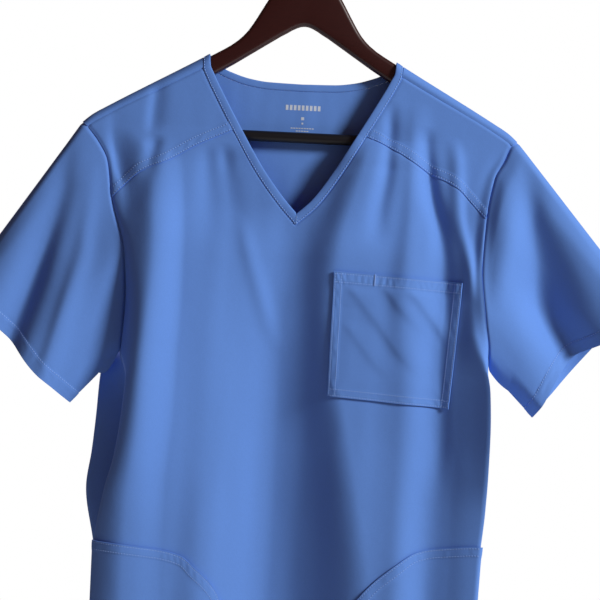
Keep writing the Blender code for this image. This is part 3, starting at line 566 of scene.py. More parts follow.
def new_group(name, inputs, outputs):
    group = bpy.data.node_groups.new(name, "ShaderNodeTree")
    for label, kind in inputs:
        group.interface.new_socket(name=label, in_out="INPUT", socket_type=kind)
    for label, kind in outputs:
        group.interface.new_socket(name=label, in_out="OUTPUT", socket_type=kind)
    return group, group.nodes.new("NodeGroupInput"), group.nodes.new("NodeGroupOutput")


def node(tree, kind, **settings):
    made = tree.nodes.new(kind)
    for key, value in settings.items():
        setattr(made, key, value)
    return made


def weave_group():
    """A fine twill: slanting ribs, slubs in the yarn and slight creasing, as a height and a tone."""
    group, given, result = new_group(
        "twill_weave",
        (("Vector", "NodeSocketVector"), ("Colour", "NodeSocketColor")),
        (("Colour", "NodeSocketColor"), ("Normal", "NodeSocketVector")),
    )
    link = group.links.new
    ribs = node(group, "ShaderNodeTexWave", wave_type="BANDS", bands_direction="DIAGONAL")
    ribs.inputs["Scale"].default_value = 420
    ribs.inputs["Distortion"].default_value = 0.6
    link(given.outputs["Vector"], ribs.inputs["Vector"])
    creased = node(group, "ShaderNodeTexNoise")
    creased.inputs["Scale"].default_value = 55
    creased.inputs["Detail"].default_value = 4
    link(given.outputs["Vector"], creased.inputs["Vector"])
    slub = node(group, "ShaderNodeTexNoise")
    slub.inputs["Scale"].default_value = 900
    slub.inputs["Detail"].default_value = 2
    link(given.outputs["Vector"], slub.inputs["Vector"])
    tone = node(group, "ShaderNodeMapRange")
    tone.inputs["To Min"].default_value = 0.93
    tone.inputs["To Max"].default_value = 1.07
    link(slub.outputs["Fac"], tone.inputs["Value"])
    shade = node(group, "ShaderNodeVectorMath", operation="SCALE")
    link(given.outputs["Colour"], shade.inputs[0])
    link(tone.outputs["Result"], shade.inputs["Scale"])
    link(shade.outputs["Vector"], result.inputs["Colour"])
    fine = node(group, "ShaderNodeBump")
    fine.inputs["Strength"].default_value = 0.12
    fine.inputs["Distance"].default_value = 0.0002
    link(ribs.outputs["Fac"], fine.inputs["Height"])
    soft = node(group, "ShaderNodeBump")
    soft.inputs["Strength"].default_value = 0.12
    soft.inputs["Distance"].default_value = 0.002
    link(creased.outputs["Fac"], soft.inputs["Height"])
    link(fine.outputs["Normal"], soft.inputs["Normal"])
    link(soft.outputs["Normal"], result.inputs["Normal"])
    return group


def grain_group():
    """Faint long grain under a dark stain."""
    group, given, result = new_group(
        "stained_grain",
        (("Vector", "NodeSocketVector"), ("Dark", "NodeSocketColor"), ("Light", "NodeSocketColor")),
        (("Colour", "NodeSocketColor"),),
    )
    link = group.links.new
    stretch = node(group, "ShaderNodeMapping")
    stretch.inputs["Scale"].default_value = (14, 60, 60)
    link(given.outputs["Vector"], stretch.inputs["Vector"])
    noise = node(group, "ShaderNodeTexNoise")
    noise.inputs["Scale"].default_value = 6
    noise.inputs["Detail"].default_value = 6
    link(stretch.outputs["Vector"], noise.inputs["Vector"])
    mix = node(group, "ShaderNodeMix", data_type="RGBA")
    link(noise.outputs["Fac"], mix.inputs["Factor"])
    link(given.outputs["Dark"], mix.inputs["A"])
    link(given.outputs["Light"], mix.inputs["B"])
    link(mix.outputs["Result"], result.inputs["Colour"])
    return group


def plain(name, colour, roughness, metallic=0.0, specular=0.5):
    made = bpy.data.materials.new(name)
    made.use_nodes = True
    shader = made.node_tree.nodes["Principled BSDF"]
    shader.inputs["Base Color"].default_value = (*colour, 1.0)
    shader.inputs["Roughness"].default_value = roughness
    shader.inputs["Metallic"].default_value = metallic
    shader.inputs["Specular IOR Level"].default_value = specular
    return made


def woven(name, colour, weave):
    made = plain(name, colour, 0.85, specular=0.12)
    tree = made.node_tree
    shader = tree.nodes["Principled BSDF"]
    place_of = tree.nodes.new("ShaderNodeTexCoord")
    cover = tree.nodes.new("ShaderNodeGroup")
    cover.node_tree = weave
    cover.inputs["Colour"].default_value = (*colour, 1.0)
    tree.links.new(place_of.outputs["Object"], cover.inputs["Vector"])
    tree.links.new(cover.outputs["Colour"], shader.inputs["Base Color"])
    tree.links.new(cover.outputs["Normal"], shader.inputs["Normal"])
    return made


def stained(name, dark, light, grain):
    made = plain(name, dark, 0.38, specular=0.5)
    tree = made.node_tree
    shader = tree.nodes["Principled BSDF"]
    shader.inputs["Coat Weight"].default_value = 0.4
    shader.inputs["Coat Roughness"].default_value = 0.25
    place_of = tree.nodes.new("ShaderNodeTexCoord")
    cover = tree.nodes.new("ShaderNodeGroup")
    cover.node_tree = grain
    cover.inputs["Dark"].default_value = (*dark, 1.0)
    cover.inputs["Light"].default_value = (*light, 1.0)
    tree.links.new(place_of.outputs["Object"], cover.inputs["Vector"])
    tree.links.new(cover.outputs["Colour"], shader.inputs["Base Color"])
    return made


# ---------------------------------------------------------------- the front


def column_steps():
    edge = np.array([0, 0.004, 0.008, 0.013, 0.019, 0.027, 0.037])
    inner = np.linspace(-0.95, 0.95, 175)
    return np.concatenate([-1 + edge, inner, (1 - edge)[::-1]])


def neck_curve(hand):
    drop = np.linspace(16, 170, 400)
    return read(NECKLINE, "drop", hand + "_x", drop), drop


def front_top_drop(x):
    """The drop of the front's upper edge: the neck binding between the yokes, the yoke seams outside them."""
    left_x, drop = neck_curve("left")
    right_x, _ = neck_curve("right")
    neck = np.where(x < 0, np.interp(-x, left_x[::-1], drop[::-1]), np.interp(x, right_x[::-1], drop[::-1]))
    return np.where(np.abs(x) < YOKE_SEAM["x"][0], neck, read(YOKE_SEAM, "x", "drop", np.abs(x)))


def front_top_line(columns):
    """The drop at which each column meets the front's upper edge, found by halving."""
    above, below = np.full(columns.shape, 40.0), np.full(columns.shape, 171.0)
    for _ in range(24):
        drop = (above + below) / 2
        past = drop > front_top_drop(section(FRONT, columns, drop)[0])
        above, below = np.where(past, above, drop), np.where(past, drop, below)
    drop = np.minimum((above + below) / 2, 170.0)
    drop[0] = drop[-1] = YOKE_DROP
    return drop


def edge_dip(depth, by=0.7, over=2.0):
    return -by * bump(depth / over)


def front_body(paint, thread):
    columns = column_steps()
    top = front_top_line(columns)
    share = graded(26, 90, 0.8, "start")[:-1, None]
    upper = top + (POCKET_TOP - top) * share
    lower = np.linspace(POCKET_TOP, HEM_DROP, 165)[:, None] + 0 * columns
    drops = np.concatenate([upper, lower])
    grid = front(columns[None, :], drops)
    out = facing(grid, -1)
    ups = edge_dip(depth_from(grid, "top"), 0.5, 1.5)
    sides = [edge_dip(depth_from(grid, side), 0.9, 2.2) for side in ("left", "right")]
    hem = depth_from(grid, "bottom")
    folded = 0.5 * (1 - smoothstep((hem - 19) / 1.6)) - 0.35 * bump((hem - 20) / 1.3)
    grid = grid + out * (ups + sides[0] + sides[1] + folded)[..., None]
    made = cloth("front_body", [grid], CLOTH, paint, "scrub_cloth", ["front_body"])
    line, up = inset(grid, out, "bottom", 20.0)
    thread.row(line + up * CLOTH / 2, up)
    return made


def forward_seam(x):
    x = np.asarray(x, float)
    return x, shoulder_drop(x) + read(FORWARD_SEAM, "x", "below_shoulder", x)


def front_yoke(name, side, paint, thread):
    hand = "left" if side < 0 else "right"
    across = graded(60, 150, 1.0, "both")
    down = graded(45, 85, 0.6, "both")
    top_x, top_drop = forward_seam(SEAM_START + across * (SEAM_END - SEAM_START))
    top = np.stack([side * top_x, top_drop], axis=-1)
    neck_x = float(YOKE_SEAM["x"][0])
    edge_x = abs(float(section(FRONT, side * EDGE, YOKE_DROP)[0]))
    bottom_x = neck_x + (edge_x - neck_x) * across
    bottom = np.stack([side * bottom_x, read(YOKE_SEAM, "x", "drop", bottom_x)], axis=-1)
    bottom[-1, 1] = YOKE_DROP
    neck_drop = top[0, 1] + (bottom[0, 1] - top[0, 1]) * down
    left = np.stack([side * read(NECKLINE, "drop", hand + "_x", neck_drop), neck_drop], axis=-1)
    left[0], left[-1] = top[0], bottom[0]
    arm_drop = top[-1, 1] + (YOKE_DROP - top[-1, 1]) * down
    right = np.stack([section(FRONT, np.full(len(down), side * EDGE), arm_drop)[0], arm_drop], axis=-1)
    top[-1], bottom[-1] = right[0], right[-1]
    flat = coons(top, bottom, left, right, across, down)
    grid = front_at(flat[..., 0], flat[..., 1])
    out = facing(grid, -1)
    below, above = depth_from(grid, "bottom"), depth_from(grid, "top")
    near_arm, near_neck = depth_from(grid, "right"), depth_from(grid, "left")
    x, drop = grid[..., 0], SHOULDER_Z - grid[..., 2]
    rise = 0.45 * (1 - smoothstep((below - 8.5) / 2)) - 0.3 * bump((below - 1.3) / 0.7) - 0.3 * bump((below - 8.2) / 0.7)
    puckers = 0.35 * bump((below - 4.8) / 2.6) * ripple(x, drop, 21, 7, 1.2)
    rise = rise + puckers + edge_dip(above, 0.9, 1.6) + edge_dip(near_arm, 0.9, 2.2) + edge_dip(near_neck, 0.4, 1.5)
    grid = grid + out * rise[..., None]
    made = cloth(name, [grid], CLOTH, paint, "scrub_cloth", [name])
    for by in (1.3, 8.2):
        line, up = inset(grid, out, "bottom", by, 2, -2)
        thread.row(line + up * CLOTH / 2, up)
    return made


# ---------------------------------------------------------------- the back


def roll_over(side, share, steps=9):
    """The part of the back that rolls forward over one shoulder, from its top line to the forward seam."""
    rows = []
    for part in np.linspace(0, 1, steps):
        x = NECK_SIDE + share * (SHOULDER_END - NECK_SIDE)
        seam_x = SEAM_START + share * (SEAM_END - SEAM_START)
        x = x + (seam_x - x) * part**2
        below = read(FORWARD_SEAM, "x", "below_shoulder", x) * (1 - math.cos(part * math.pi / 2))
        rows.append(np.stack([side * x, -roll(below), SHOULDER_Z - shoulder_drop(x) - below], axis=-1))
    seam = front_at(rows[-1][:, 0], SHOULDER_Z - rows[-1][:, 2])
    move = seam - rows[-1]
    return np.array([row + move * (i / (steps - 1)) ** 3 for i, row in enumerate(rows)])


def shoulder_shares():
    return graded(60, 130, 1.0, "end")


def back_top():
    """x and drop of the back's top line: the neckline, then the shoulder's top line."""
    neck = np.concatenate([np.linspace(0, 90, 46), [92, 94, 96, 97.5, 99, 100.4, 101.2, 101.7]])
    shoulder = NECK_SIDE + shoulder_shares() * (SHOULDER_END - NECK_SIDE)
    half = np.concatenate([neck, shoulder])
    drop = np.concatenate([read(BACK_NECKLINE, "x", "drop", neck), shoulder_drop(shoulder)])
    return np.concatenate([-half[:0:-1], half]), np.concatenate([drop[:0:-1], drop])


def back_body(paint, thread):
    top_x, top = back_top()
    full = 190.0
    near = np.concatenate([RIDGE * (1 - np.cos(np.linspace(0, math.pi / 2, 8))), [12, 15, 19, 24]])
    drops = [top + below for below in near]
    drops += [drops[-1] + (full - drops[len(near) - 1]) * part for part in np.linspace(0, 1, 42)[1:]]
    edge = section(BACK, EDGE, full)[0]
    columns = column_at(BACK, top_x * edge / SHOULDER_END, np.full(top_x.shape, full))
    columns[0], columns[-1] = -EDGE, EDGE
    rows = []
    for drop in drops:
        own = section(BACK, columns, drop)[0]
        part = ((drop - top) / (full - top)) ** 0.5
        x = top_x + (own - top_x) * part
        x[0], x[-1] = own[0], own[-1]
        rows.append(back_at(x, drop))
    for drop in np.linspace(full, HEM_DROP, 138)[1:]:
        rows.append(back(columns, np.full(columns.shape, float(drop))))
    grid = np.array(rows)
    out = facing(grid, 1)
    hem = depth_from(grid, "bottom")
    folded = 0.5 * (1 - smoothstep((hem - 19) / 1.6)) - 0.35 * bump((hem - 20) / 1.3)
    sides = edge_dip(depth_from(grid, "left"), 0.9, 2.2) + edge_dip(depth_from(grid, "right"), 0.9, 2.2)
    below_top = smoothstep(depth_from(grid, "top") / 12)
    grid = grid + out * (folded + sides * below_top)[..., None]
    share = shoulder_shares()
    count = len(share)
    left, right = roll_over(-1, share)[:, ::-1], roll_over(1, share)
    for part in (left, right):
        outward = facing(part, -1)
        part += outward * (edge_dip(depth_from(part, "bottom"), 0.8, 1.6))[..., None]
    left[0], right[0] = grid[0][:count], grid[0][-count:]
    made = cloth("back_body", [grid, left, right], CLOTH, paint, "scrub_cloth", ["back_body"])
    line, up = inset(grid, out, "bottom", 20.0)
    thread.row(line + up * CLOTH / 2, up)
    return made


# ---------------------------------------------------------------- the sleeves


def shares_of(line):
    along = np.concatenate([[0], np.cumsum(np.linalg.norm(np.diff(line, axis=0), axis=1))])
    return along / along[-1]


def sleeve(name, side, paint, thread):
    """Lofted from the armhole to the cuff. Its loop runs from the shoulder down the front and up the back."""
    hand = "left" if side < 0 else "right"
    over = roll_over(side, np.array([0.9, 1.0]))[:, -1]
    start = float(forward_seam(SEAM_END)[1])
    front_drops = np.concatenate([np.linspace(start, YOKE_DROP, 26), np.linspace(YOKE_DROP, UNDERARM_DROP, 52)[1:]])
    front_line = np.concatenate([over[:-1], front(np.full(front_drops.shape, side * EDGE), front_drops)])
    top = float(shoulder_drop(SHOULDER_END))
    near = top + RIDGE * (1 - np.cos(np.linspace(0, math.pi / 2, 7)))
    back_drops = np.concatenate([near, np.linspace(near[-1], UNDERARM_DROP, 66)[1:]])
    back_line = back(np.full(back_drops.shape, side * EDGE), back_drops)[1:-1][::-1]
    armhole = np.concatenate([front_line, back_line])
    front_share = shares_of(front_line)
    back_share = shares_of(np.concatenate([armhole[:1], back_line[::-1], front_line[-1:]]))[1:-1][::-1]
    share = np.concatenate([front_share, back_share])
    is_back = np.arange(len(share)) >= len(front_share)
    cuff_x, cuff_drop = read(CUFF, "share", hand + "_x", share), read(CUFF, "share", hand + "_drop", share)
    cuff_out = np.where(is_back, -read(CUFF, "share", hand + "_back", share), read(CUFF, "share", hand + "_out", share))
    ends_x, ends_drop = CUFF[hand + "_x"][[0, -1]], CUFF[hand + "_drop"][[0, -1]]
    cuff_x = np.where(is_back, ends_x[0] * (1 - share) + ends_x[1] * share, cuff_x)
    hang = 4 * np.sin(math.pi * share)
    cuff_drop = np.where(is_back, ends_drop[0] * (1 - share) + ends_drop[1] * share + hang, cuff_drop)
    cuff = np.stack([cuff_x, -cuff_out, SHOULDER_Z - cuff_drop], axis=-1)
    creases = LEFT_SLEEVE_CREASES if side < 0 else RIGHT_SLEEVE_CREASES
    rows = []
    for along in graded(58, 170, 0.7, "both"):
        row = armhole + (cuff - armhole) * along
        flat_x, drop = row[:, 0], SHOULDER_Z - row[:, 2]
        grow = smoothstep(along / 0.3)
        uneven = 0.7 * ripple(flat_x, drop, 31 + side, 60)
        behind = relief(BACK_CREASES, flat_x, drop) + uneven
        before = relief(creases, flat_x, drop) + uneven
        under = np.sin(math.pi * min(1.0, along / 0.46)) * smoothstep((share - 0.72) / 0.28)
        row[:, 2] -= np.where(is_back, UNDER_SAG[hand][1], UNDER_SAG[hand][0]) * under
        head = smoothstep(along / 0.1) * (1 - smoothstep((along - 0.12) / 0.5)) * (side > 0)
        row[:, 1] -= 5.5 * head * bump((SHOULDER_Z - armhole[:, 2] - 135) / 48) * ~is_back
        row[:, 1] += np.where(is_back, behind, -before) * grow * np.sqrt(np.sin(math.pi * share))
        rows.append(row)
    grid = np.array(rows)
    out = normals(grid, closed=True)
    middle = grid.mean(axis=1, keepdims=True)
    out *= np.sign((out * (grid - middle)).sum(axis=-1).mean())
    hem, arm = depth_from(grid, "bottom"), depth_from(grid, "top")
    x, drop = grid[..., 0], SHOULDER_Z - grid[..., 2]
    folded = 0.5 * (1 - smoothstep((hem - 13) / 1.2)) - 0.35 * bump((hem - 13.4) / 0.9)
    puckers = 0.3 * bump((hem - 9) / 5) * ripple(x, drop, 41, 9, 1.0)
    seam = edge_dip(arm, 0.9 + 1.1 * smoothstep((share - 0.02) / 0.07) * ~is_back, 2.5)
    grid = grid + out * (folded + puckers + seam)[..., None]
    made = cloth(name, [grid], CLOTH, paint, "scrub_cloth", [name], closed=True)
    line, up = inset(grid, out, "bottom", 13.4)
    line, up = np.concatenate([line, line[:1]]), np.concatenate([up, up[:1]])
    thread.row(line + up * CLOTH / 2, up)
    return made


# ---------------------------------------------------------------- bindings


def binding(name, outer, inner, out, paint, thread, rows=(1.3,)):
    """A folded strip between two edges, rounded at both, with rows of stitches measured from its outer edge."""
    middle, half = (outer + inner) / 2, (inner - outer) / 2
    width = np.linalg.norm(half, axis=-1, keepdims=True)
    angles = np.linspace(0, 2 * math.pi, 20, endpoint=False)
    power = 0.5
    c = np.sign(np.cos(angles)) * np.abs(np.cos(angles)) ** power
    s = np.sign(np.sin(angles)) * np.abs(np.sin(angles)) ** (power * 1.3)
    reach = half * (1 - 0.1 / np.maximum(width, 0.1))
    rings = middle[:, None] + reach[:, None] * c[None, :, None] + out[:, None] * (s * BINDING / 2)[None, :, None]
    dent = bump((c[None, :] * width + width - rows[0]) / 0.7) * (s[None, :] > 0) * 0.25
    rings = rings - out[:, None] * dent[..., None]
    mesh = ring_mesh(name, rings)
    smooth(mesh, 60)
    made = place(name, mesh, paint, "neck_binding", [name])
    for by in rows:
        line = outer + unit(inner - outer) * by + out * (BINDING / 2 - 0.2)
        thread.row(line[1:-1], out[1:-1], pitch=2.8)
    return made


def square_in(flat, width):
    along = np.gradient(flat, axis=0)
    square = unit(np.stack([-along[:, 1], along[:, 0]], axis=-1))
    return flat + width * square


def front_band(name, side, paint, thread):
    hand = "left" if side < 0 else "right"
    lower_x, lower = neck_curve(hand)
    keep = np.arange(0, 400, 3)
    lower_x, lower = lower_x[keep], lower[keep]
    below = RIDGE * (1 - np.cos(np.linspace(0, math.pi / 2, 7)))
    over_x = np.linspace(102, 101, 7)
    over = np.stack([over_x, shoulder_drop(over_x) + below], axis=-1)
    flat = np.concatenate([over, np.stack([lower_x, lower], axis=-1), [[0, 170]]])
    inner = square_in(flat, BINDING_WIDTH)
    slide = smoothstep((flat[:, 1] - 10) / 16)[:, None]
    inner = inner * slide + (flat - [7.2, 4.2]) * (1 - slide)
    inner[-1] = (0, flat[-1][1] - 11.5)
    inner[:, 0] = np.maximum(inner[:, 0], 0)
    tip = inner[:, 1] > inner[-1, 1]
    inner[tip] = inner[-1]
    outer_points = front_at(side * flat[:, 0], flat[:, 1])
    inner_points = front_at(side * inner[:, 0], inner[:, 1])
    for points in (outer_points, inner_points):
        points[:7, 1] = -roll(below)
    grid = np.array([outer_points, inner_points])
    out = facing(grid, -1)[0]
    rolled = unit(np.stack([0 * below, -np.sin(np.linspace(0, math.pi / 2, 7)), np.cos(np.linspace(0, math.pi / 2, 7))], axis=-1))
    out[:7] = rolled
    if side > 0:
        mitre = front_at(np.full(3, 0.8), np.array([160.5, 164.5, 168.5]))
        forward = np.tile([0.0, -1.0, 0.0], (3, 1))
        thread.row(mitre + forward * (BINDING / 2), forward, pitch=2.2)
    return binding(name, outer_points, inner_points, out, paint, thread)


def back_band(paint, thread):
    x = np.concatenate([np.linspace(0, 92, 60), [94, 96, 97.5, 99, 100.4, 101.2, 101.7, 102]])
    drop = read(BACK_NECKLINE, "x", "drop", x)
    x, drop = np.concatenate([-x[:0:-1], x]), np.concatenate([drop[:0:-1], drop])
    flat = np.stack([x, drop], axis=-1)
    along = np.gradient(flat, axis=0)
    square = unit(np.stack([along[:, 1], -along[:, 0]], axis=-1))
    inner = flat + (BINDING_WIDTH - 1) * square
    below = drop - shoulder_drop(x)
    slide = smoothstep((below - 4) / 8)[:, None]
    turned_x = x - np.sign(x) * 7.2
    turned = np.stack([turned_x, shoulder_drop(turned_x) + below], axis=-1)
    inner = inner * slide + turned * (1 - slide)
    outer_points, inner_points = back_at(flat[:, 0], flat[:, 1]), back_at(inner[:, 0], inner[:, 1])
    grid = np.array([outer_points, inner_points])
    out = facing(grid, 1)[0]
    top = below < 0.2
    out[top] = (0, 0, 1)
    return binding("neckband_back", outer_points, inner_points, out, paint, thread)


def size_print(paint):
    """Plain pale marks inside the back neck, where a size is usually printed."""
    marks = [(2 + 4.1 * step, 49.0, 2.7, 5.2) for step in range(-4, 5)] + [(2.0, 60.0, 3.0, 3.0), (2.0, 65.0, 1.8, 1.8)]
    for drop, steps in ((70.0, 4), (72.8, 2)):
        marks += [(2 + 2.7 * step, drop, 2.0, 1.0) for step in range(-steps, steps + 1)]
    points, faces = [], []
    for x, drop, width, height in marks:
        corners = back_at(x + width / 2 * np.array([-1, 1, 1, -1]), drop + height / 2 * np.array([1, 1, -1, -1]))
        first = len(points)
        for lift in (CLOTH / 2 + 0.12, CLOTH / 2 - 0.3):
            points += (corners - [0, lift, 0]).tolist()
        sides = [[i, (i + 1) % 4, 4 + (i + 1) % 4, 4 + i] for i in range(4)]
        faces += [[first + v for v in face[::-1]] for face in ([3, 2, 1, 0], [4, 5, 6, 7], *sides)]
    mesh = bpy.data.meshes.new("size_print")
    mesh.from_pydata((np.array(points) * MM).tolist(), [], faces)
    return place("size_print", mesh, paint, "scrub_cloth")


# ---------------------------------------------------------------- pockets


def chest_pocket(paint, thread):
    """A patch with a folded top, sewn by twin rows at its sides and foot, and a slot for a pen."""
    across, down = graded(70, 128, 0.7, "both"), graded(70, 126, 0.7, "both")
    corners = np.array([[(41, 214.5), (171.6, 220.7)], [(41, 340.6), (163, 348)]])
    s, t = across[None, :, None], down[:, None, None]
    flat = (1 - t) * ((1 - s) * corners[0, 0] + s * corners[0, 1]) + t * ((1 - s) * corners[1, 0] + s * corners[1, 1])
    base = front_at(flat[..., 0], flat[..., 1])
    out = facing(base, -1)
    top, foot = depth_from(base, "top"), depth_from(base, "bottom")
    left, right = depth_from(base, "left"), depth_from(base, "right")
    x, drop = base[..., 0], SHOULDER_Z - base[..., 2]
    rim = np.minimum(np.minimum(left, right), foot)
    seam = 0.35 * (1 - smoothstep((rim - 7.5) / 2)) + 0.4 * (1 - smoothstep((top - 11) / 1.5))
    rows = sum(bump((depth - by) / 0.7) for depth in (left, right, foot) for by in (1.3, 7.6))
    rows = rows + bump((top - 2) / 0.7) + bump((top - 10.5) / 0.7)
    puckers = 0.75 * bump((top - 7) / 4.5) * ripple(x, drop, 51, 5.5, 1.6) + 0.4 * bump((rim - 4.5) / 3) * ripple(x, drop, 52, 7, 0.8)
    inside = smoothstep(rim / 22) * smoothstep(top / 20)
    slant = 0.77 * (x - 106) - 0.63 * (drop - 280)
    folds = 0 * x
    for at, start, end, height in ((41, 226, 292, 1.9), (24, 222, 278, 1.3), (-4, 226, 322, 1.1), (-30, 262, 330, 0.8)):
        past = slant - at
        length = smoothstep((drop - start) / 12) * smoothstep((end - drop) / 30)
        folds += height * length * bump(past / np.where(past < 0, 5.5, 14))
    level = CLOTH + GAP + 0.25 + inside * 0.9
    grid = base + out * (level + seam - 0.22 * rows + puckers + inside * folds)[..., None]
    made = cloth("chest_pocket", [grid], CLOTH, paint, "scrub_cloth", ["chest_pocket"])
    for side, by in (("top", 2), ("top", 10.5), ("left", 1.3), ("left", 7.6), ("right", 1.3), ("right", 7.6), ("bottom", 1.3), ("bottom", 7.6)):
        line, up = inset(grid, out, side, by, 2, -2)
        thread.row(line + up * CLOTH / 2, up, pitch=2.7)
    slot = int(np.searchsorted(across, (82 - 41) / 130))
    start, end = grid[0, slot], inset(grid, out, "top", 11)[0][slot]
    up = out[4, slot]
    thread.bartack(start + up * CLOTH / 2, end + up * CLOTH / 2, up)
    return made


def lower_pocket(name, side, paint, thread):
    """A patch from its curved entry down to the hem."""
    entry = POCKET_ENTRY["left" if side < 0 else "right"]
    columns = (0.30 + 0.621 * graded(80, 125, 0.9, "both")) * side
    reach = np.abs(section(FRONT, columns, 540.0)[0])
    top = read(entry, "x", "drop", reach)
    share = graded(70, 190, 0.7, "start")[:, None]
    drops = top + (HEM_DROP - 1 - top) * share
    base = front(columns[None, :], drops)
    out = facing(base, -1)
    steep = np.sqrt(1 + np.gradient(top, reach) ** 2)
    above = depth_from(base, "top") / steep
    inner = depth_from(base, "left")
    x, drop = base[..., 0], SHOULDER_Z - base[..., 2]
    rise = 0.4 * (1 - smoothstep((above - 9) / 1.6)) - 0.22 * (bump((above - 1.4) / 0.7) + bump((above - 8.6) / 0.7))
    rise = rise - 0.22 * (bump((inner - 1.4) / 0.7) + bump((inner - 8) / 0.7))
    rise = rise + 0.3 * bump((above - 5) / 3) * ripple(x, drop, 61 + side, 8, 1.2)
    grid = base + out * (CLOTH + GAP + 0.25 + rise)[..., None]
    made = cloth(name, [grid], CLOTH, paint, "scrub_cloth", [name])
    for by in (1.4, 8.6):
        line, up = inset(grid, out, "top", by * steep, 3, -3)
        thread.row(line + up * CLOTH / 2, up)
    for by in (1.4, 8.0):
        line, up = inset(grid, out, "left", by, 12, -3)
        thread.row(line + up * CLOTH / 2, up)
    return made


# ---------------------------------------------------------------- the hanger


def hanger_outline():
    upper = [(0, HUB_DROP), (6, HUB_DROP + 0.2), (12, HUB_DROP + 1.2), (17, HUB_DROP + 3.4), (22, HUB_DROP + 7.2), (26.5, -75.6),
             (31, -70), (35.8, -62.6), (40.5, -54.6), (45.8, -45.2), (51, -36.2), (54.6, -30.4), (58, -25.4), (62.4, -20.2),
             (67, -15.8), (74, -10.4), (81, -6), (94, 1.5), (122, 18.4), (150, 35), (174, 49), (190, 58.4), (197, 62.7)]
    end = [(201, 65.3), (204, 68.6), (206, 72.6), (207, 77), (206.9, 81.2), (205.8, 85), (203.6, 88), (200.6, 89.2), (197.2, 88.3)]
    lower = [(193.5, 85.6), (188, -34.7 + 0.615 * 188), (160, -34.7 + 0.615 * 160), (120, -34.7 + 0.615 * 120), (70, -34.7 + 0.615 * 70),
             (24, -21.8), (18, -25.2), (13, -28.4), (8, -31), (4, -32.5), (0, -33)]
    return upper + end + lower


def hanger_frame(paint):
    half = hanger_outline()
    outline = np.array(half + [(-x, drop) for x, drop in half[-2:0:-1]])
    before, after = np.roll(outline, 1, axis=0), np.roll(outline, -1, axis=0)
    tangent = unit(after - before)
    inward = np.stack([-tangent[:, 1], tangent[:, 0]], axis=-1)
    rings = []
    radius = 4.6
    turns = np.linspace(0, math.pi / 2, 7)
    for turn in turns:
        rings.append((radius * (1 - math.sin(turn)), -WOOD_DEPTH / 2 + radius * (1 - math.cos(turn))))
    rings += [(by, -depth) for by, depth in rings[::-1]]
    points = []
    for by, depth in rings:
        flat = outline + inward * by
        points.append(np.stack([flat[:, 0], np.full(len(flat), depth), SHOULDER_Z - flat[:, 1]], axis=-1))
    mesh = ring_mesh("hanger_frame", np.array(points))
    smooth(mesh, 35)
    return place("hanger_frame", mesh, paint, "stained_wood", ["hanger_frame"])


def tube(line, radius, around=20):
    """Rings round a line that stays in the hanger's plane."""
    along = unit(np.gradient(line, axis=0))
    side = np.array([0.0, 1.0, 0.0])
    up = unit(np.cross(along, side))
    angles = np.linspace(0, 2 * math.pi, around, endpoint=False)
    radius = np.broadcast_to(radius, (len(line),))
    ring = np.cos(angles)[None, :, None] * side + np.sin(angles)[None, :, None] * up[:, None]
    return line[:, None] + ring * radius[:, None, None]


def hanger_bar(paint):
    x = np.concatenate([[-BAR_REACH, -BAR_REACH + 0.5], np.linspace(-BAR_REACH + 1.2, BAR_REACH - 1.2, 40), [BAR_REACH - 0.5, BAR_REACH]])
    line = np.stack([x, 0 * x, 0 * x + SHOULDER_Z - BAR_DROP], axis=-1)
    radius = np.full(len(x), BAR_RADIUS)
    radius[[0, -1]], radius[[1, -2]] = BAR_RADIUS - 1, BAR_RADIUS - 0.3
    mesh = ring_mesh("hanger_bar", tube(line, radius, 28))
    smooth(mesh, 50)
    return place("hanger_bar", mesh, paint, "black_bar", ["hanger_bar"])


def hanger_hook(paint):
    centre = WIRE_RADIUS - HOOK_RADIUS
    shank = [(0, SHOULDER_Z - HUB_DROP - 12), (0, -66), (0, -58), (0.2, -55), (1.0, -52), (2.6, -49), (5.0, -46.2), (8, -43.6), (11, -41)]
    bend = np.radians(np.linspace(-50, 215, 64))
    points = shank + [(HOOK_RADIUS * math.cos(a), centre + HOOK_RADIUS * math.sin(a)) for a in bend]
    flat = np.array(points)
    line = np.stack([flat[:, 0], 0 * flat[:, 0], flat[:, 1]], axis=-1)
    tail = unit((line[-1] - line[-2])[None])[0]
    radius = np.full(len(line) + 2, WIRE_RADIUS)
    line = np.concatenate([line, [line[-1] + tail * 0.8, line[-1] + tail * 1.2]])
    radius[-2:] = WIRE_RADIUS * 0.75, WIRE_RADIUS * 0.35
    mesh = ring_mesh("hanger_hook", tube(line, radius, 20))
    smooth(mesh, 50)
    return place("hanger_hook", mesh, paint, "plated_steel", ["hanger_hook"])


# ---------------------------------------------------------------- the stage


def stage_floor():
    mesh = bpy.data.meshes.new("floor")
    half, level = 1.9, -1.45
    mesh.from_pydata([(-half, -half, level), (half, -half, level), (half, half, level), (-half, half, level)], [], [(0, 1, 2, 3)])
    floor = bpy.data.objects.new("floor", mesh)
    bpy.context.scene.collection.objects.link(floor)
    mesh.materials.append(plain("pale floor", (0.8, 0.8, 0.8), 0.9))


def light(name, at, aim, size, power, colour):
    lamp = bpy.data.lights.new(name, "AREA")
    lamp.shape = "DISK"
    lamp.size = size
    lamp.energy = power
    lamp.color = colour
    made = bpy.data.objects.new(name, lamp)
    bpy.context.scene.collection.objects.link(made)
    made.location = at
    made.rotation_euler = (Vector(aim) - Vector(at)).to_track_quat("-Z", "Y").to_euler()


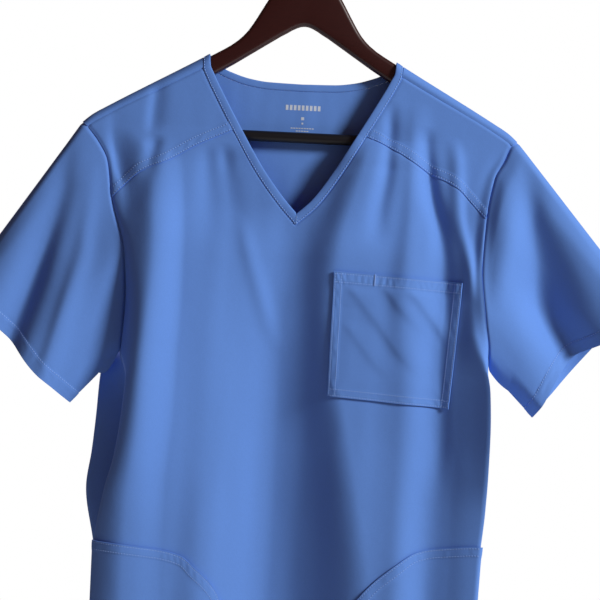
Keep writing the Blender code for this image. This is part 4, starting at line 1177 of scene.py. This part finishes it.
def surroundings(tint):
    """A dim even light on the object, while the camera sees plain white behind it."""
    world = bpy.data.worlds.new("studio")
    bpy.context.scene.world = world
    world.use_nodes = True
    tree = world.node_tree
    tree.nodes.clear()
    dim, white = tree.nodes.new("ShaderNodeBackground"), tree.nodes.new("ShaderNodeBackground")
    dim.inputs["Color"].default_value = (*tint, 1.0)
    white.inputs["Color"].default_value = (1.0, 1.0, 1.0, 1.0)
    seen, mix = tree.nodes.new("ShaderNodeLightPath"), tree.nodes.new("ShaderNodeMixShader")
    result = tree.nodes.new("ShaderNodeOutputWorld")
    tree.links.new(seen.outputs["Is Camera Ray"], mix.inputs["Fac"])
    tree.links.new(dim.outputs["Background"], mix.inputs[1])
    tree.links.new(white.outputs["Background"], mix.inputs[2])
    tree.links.new(mix.outputs["Shader"], result.inputs["Surface"])


def camera():
    lens = bpy.data.cameras.new("camera")
    lens.sensor_width = 36
    lens.lens = 96
    made = bpy.data.objects.new("camera", lens)
    bpy.context.scene.collection.objects.link(made)
    right, up, behind = (0.99889, 0, 0.0471), (-0.0471, 0, 0.99889), (0, -1, 0)
    turned = Matrix((right, up, behind)).transposed().to_4x4()
    made.matrix_world = Matrix.Translation((0.00807, -1.63, -0.3954)) @ turned
    bpy.context.scene.camera = made


def main():
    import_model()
    weave, grain = weave_group(), grain_group()
    blue = woven("scrub cloth", (0.127, 0.285, 0.750), weave)
    trim = woven("neck binding", (0.127, 0.285, 0.750), weave)
    sewing = plain("sewing thread", (0.29, 0.49, 0.92), 0.7, specular=0.3)
    wood = stained("mahogany stain", (0.022, 0.0018, 0.0018), (0.036, 0.004, 0.0035), grain)
    black = plain("bar black", (0.002, 0.003, 0.006), 0.45)
    steel = plain("hook steel", (0.55, 0.55, 0.56), 0.25, 1.0)
    thread = Stitches()
    pieces = [front_body(blue, thread), back_body(blue, thread)]
    for hand, side in (("left", -1), ("right", 1)):
        pieces.append(front_yoke("front_yoke_" + hand, side, blue, thread))
        pieces.append(sleeve("sleeve_" + hand, side, blue, thread))
        pieces.append(front_band("neckband_front_" + hand, side, trim, thread))
        pieces.append(lower_pocket("lower_pocket_" + hand, side, blue, thread))
    pieces.append(back_band(trim, thread))
    pieces.append(chest_pocket(blue, thread))
    thread.build("stitching", sewing, "scrub_cloth")
    size_print(plain("pale print", (0.60, 0.70, 0.82), 0.7))
    hanger_frame(wood)
    hanger_bar(black)
    hanger_hook(steel)
    stage_floor()
    light("key", (3.14, -1.81, 1.3), (0.0, 0.0, -0.4), 1.0, 163, (1.0, 0.99, 0.97))
    light("back fill", (-1.6, 3.4, 0.6), (0.0, 0.0, -0.45), 1.6, 46, (0.97, 0.98, 1.0))
    surroundings((0.113, 0.058, 0.050))
    camera()
    scene = bpy.context.scene
    scene.view_settings.view_transform = "Standard"


main()
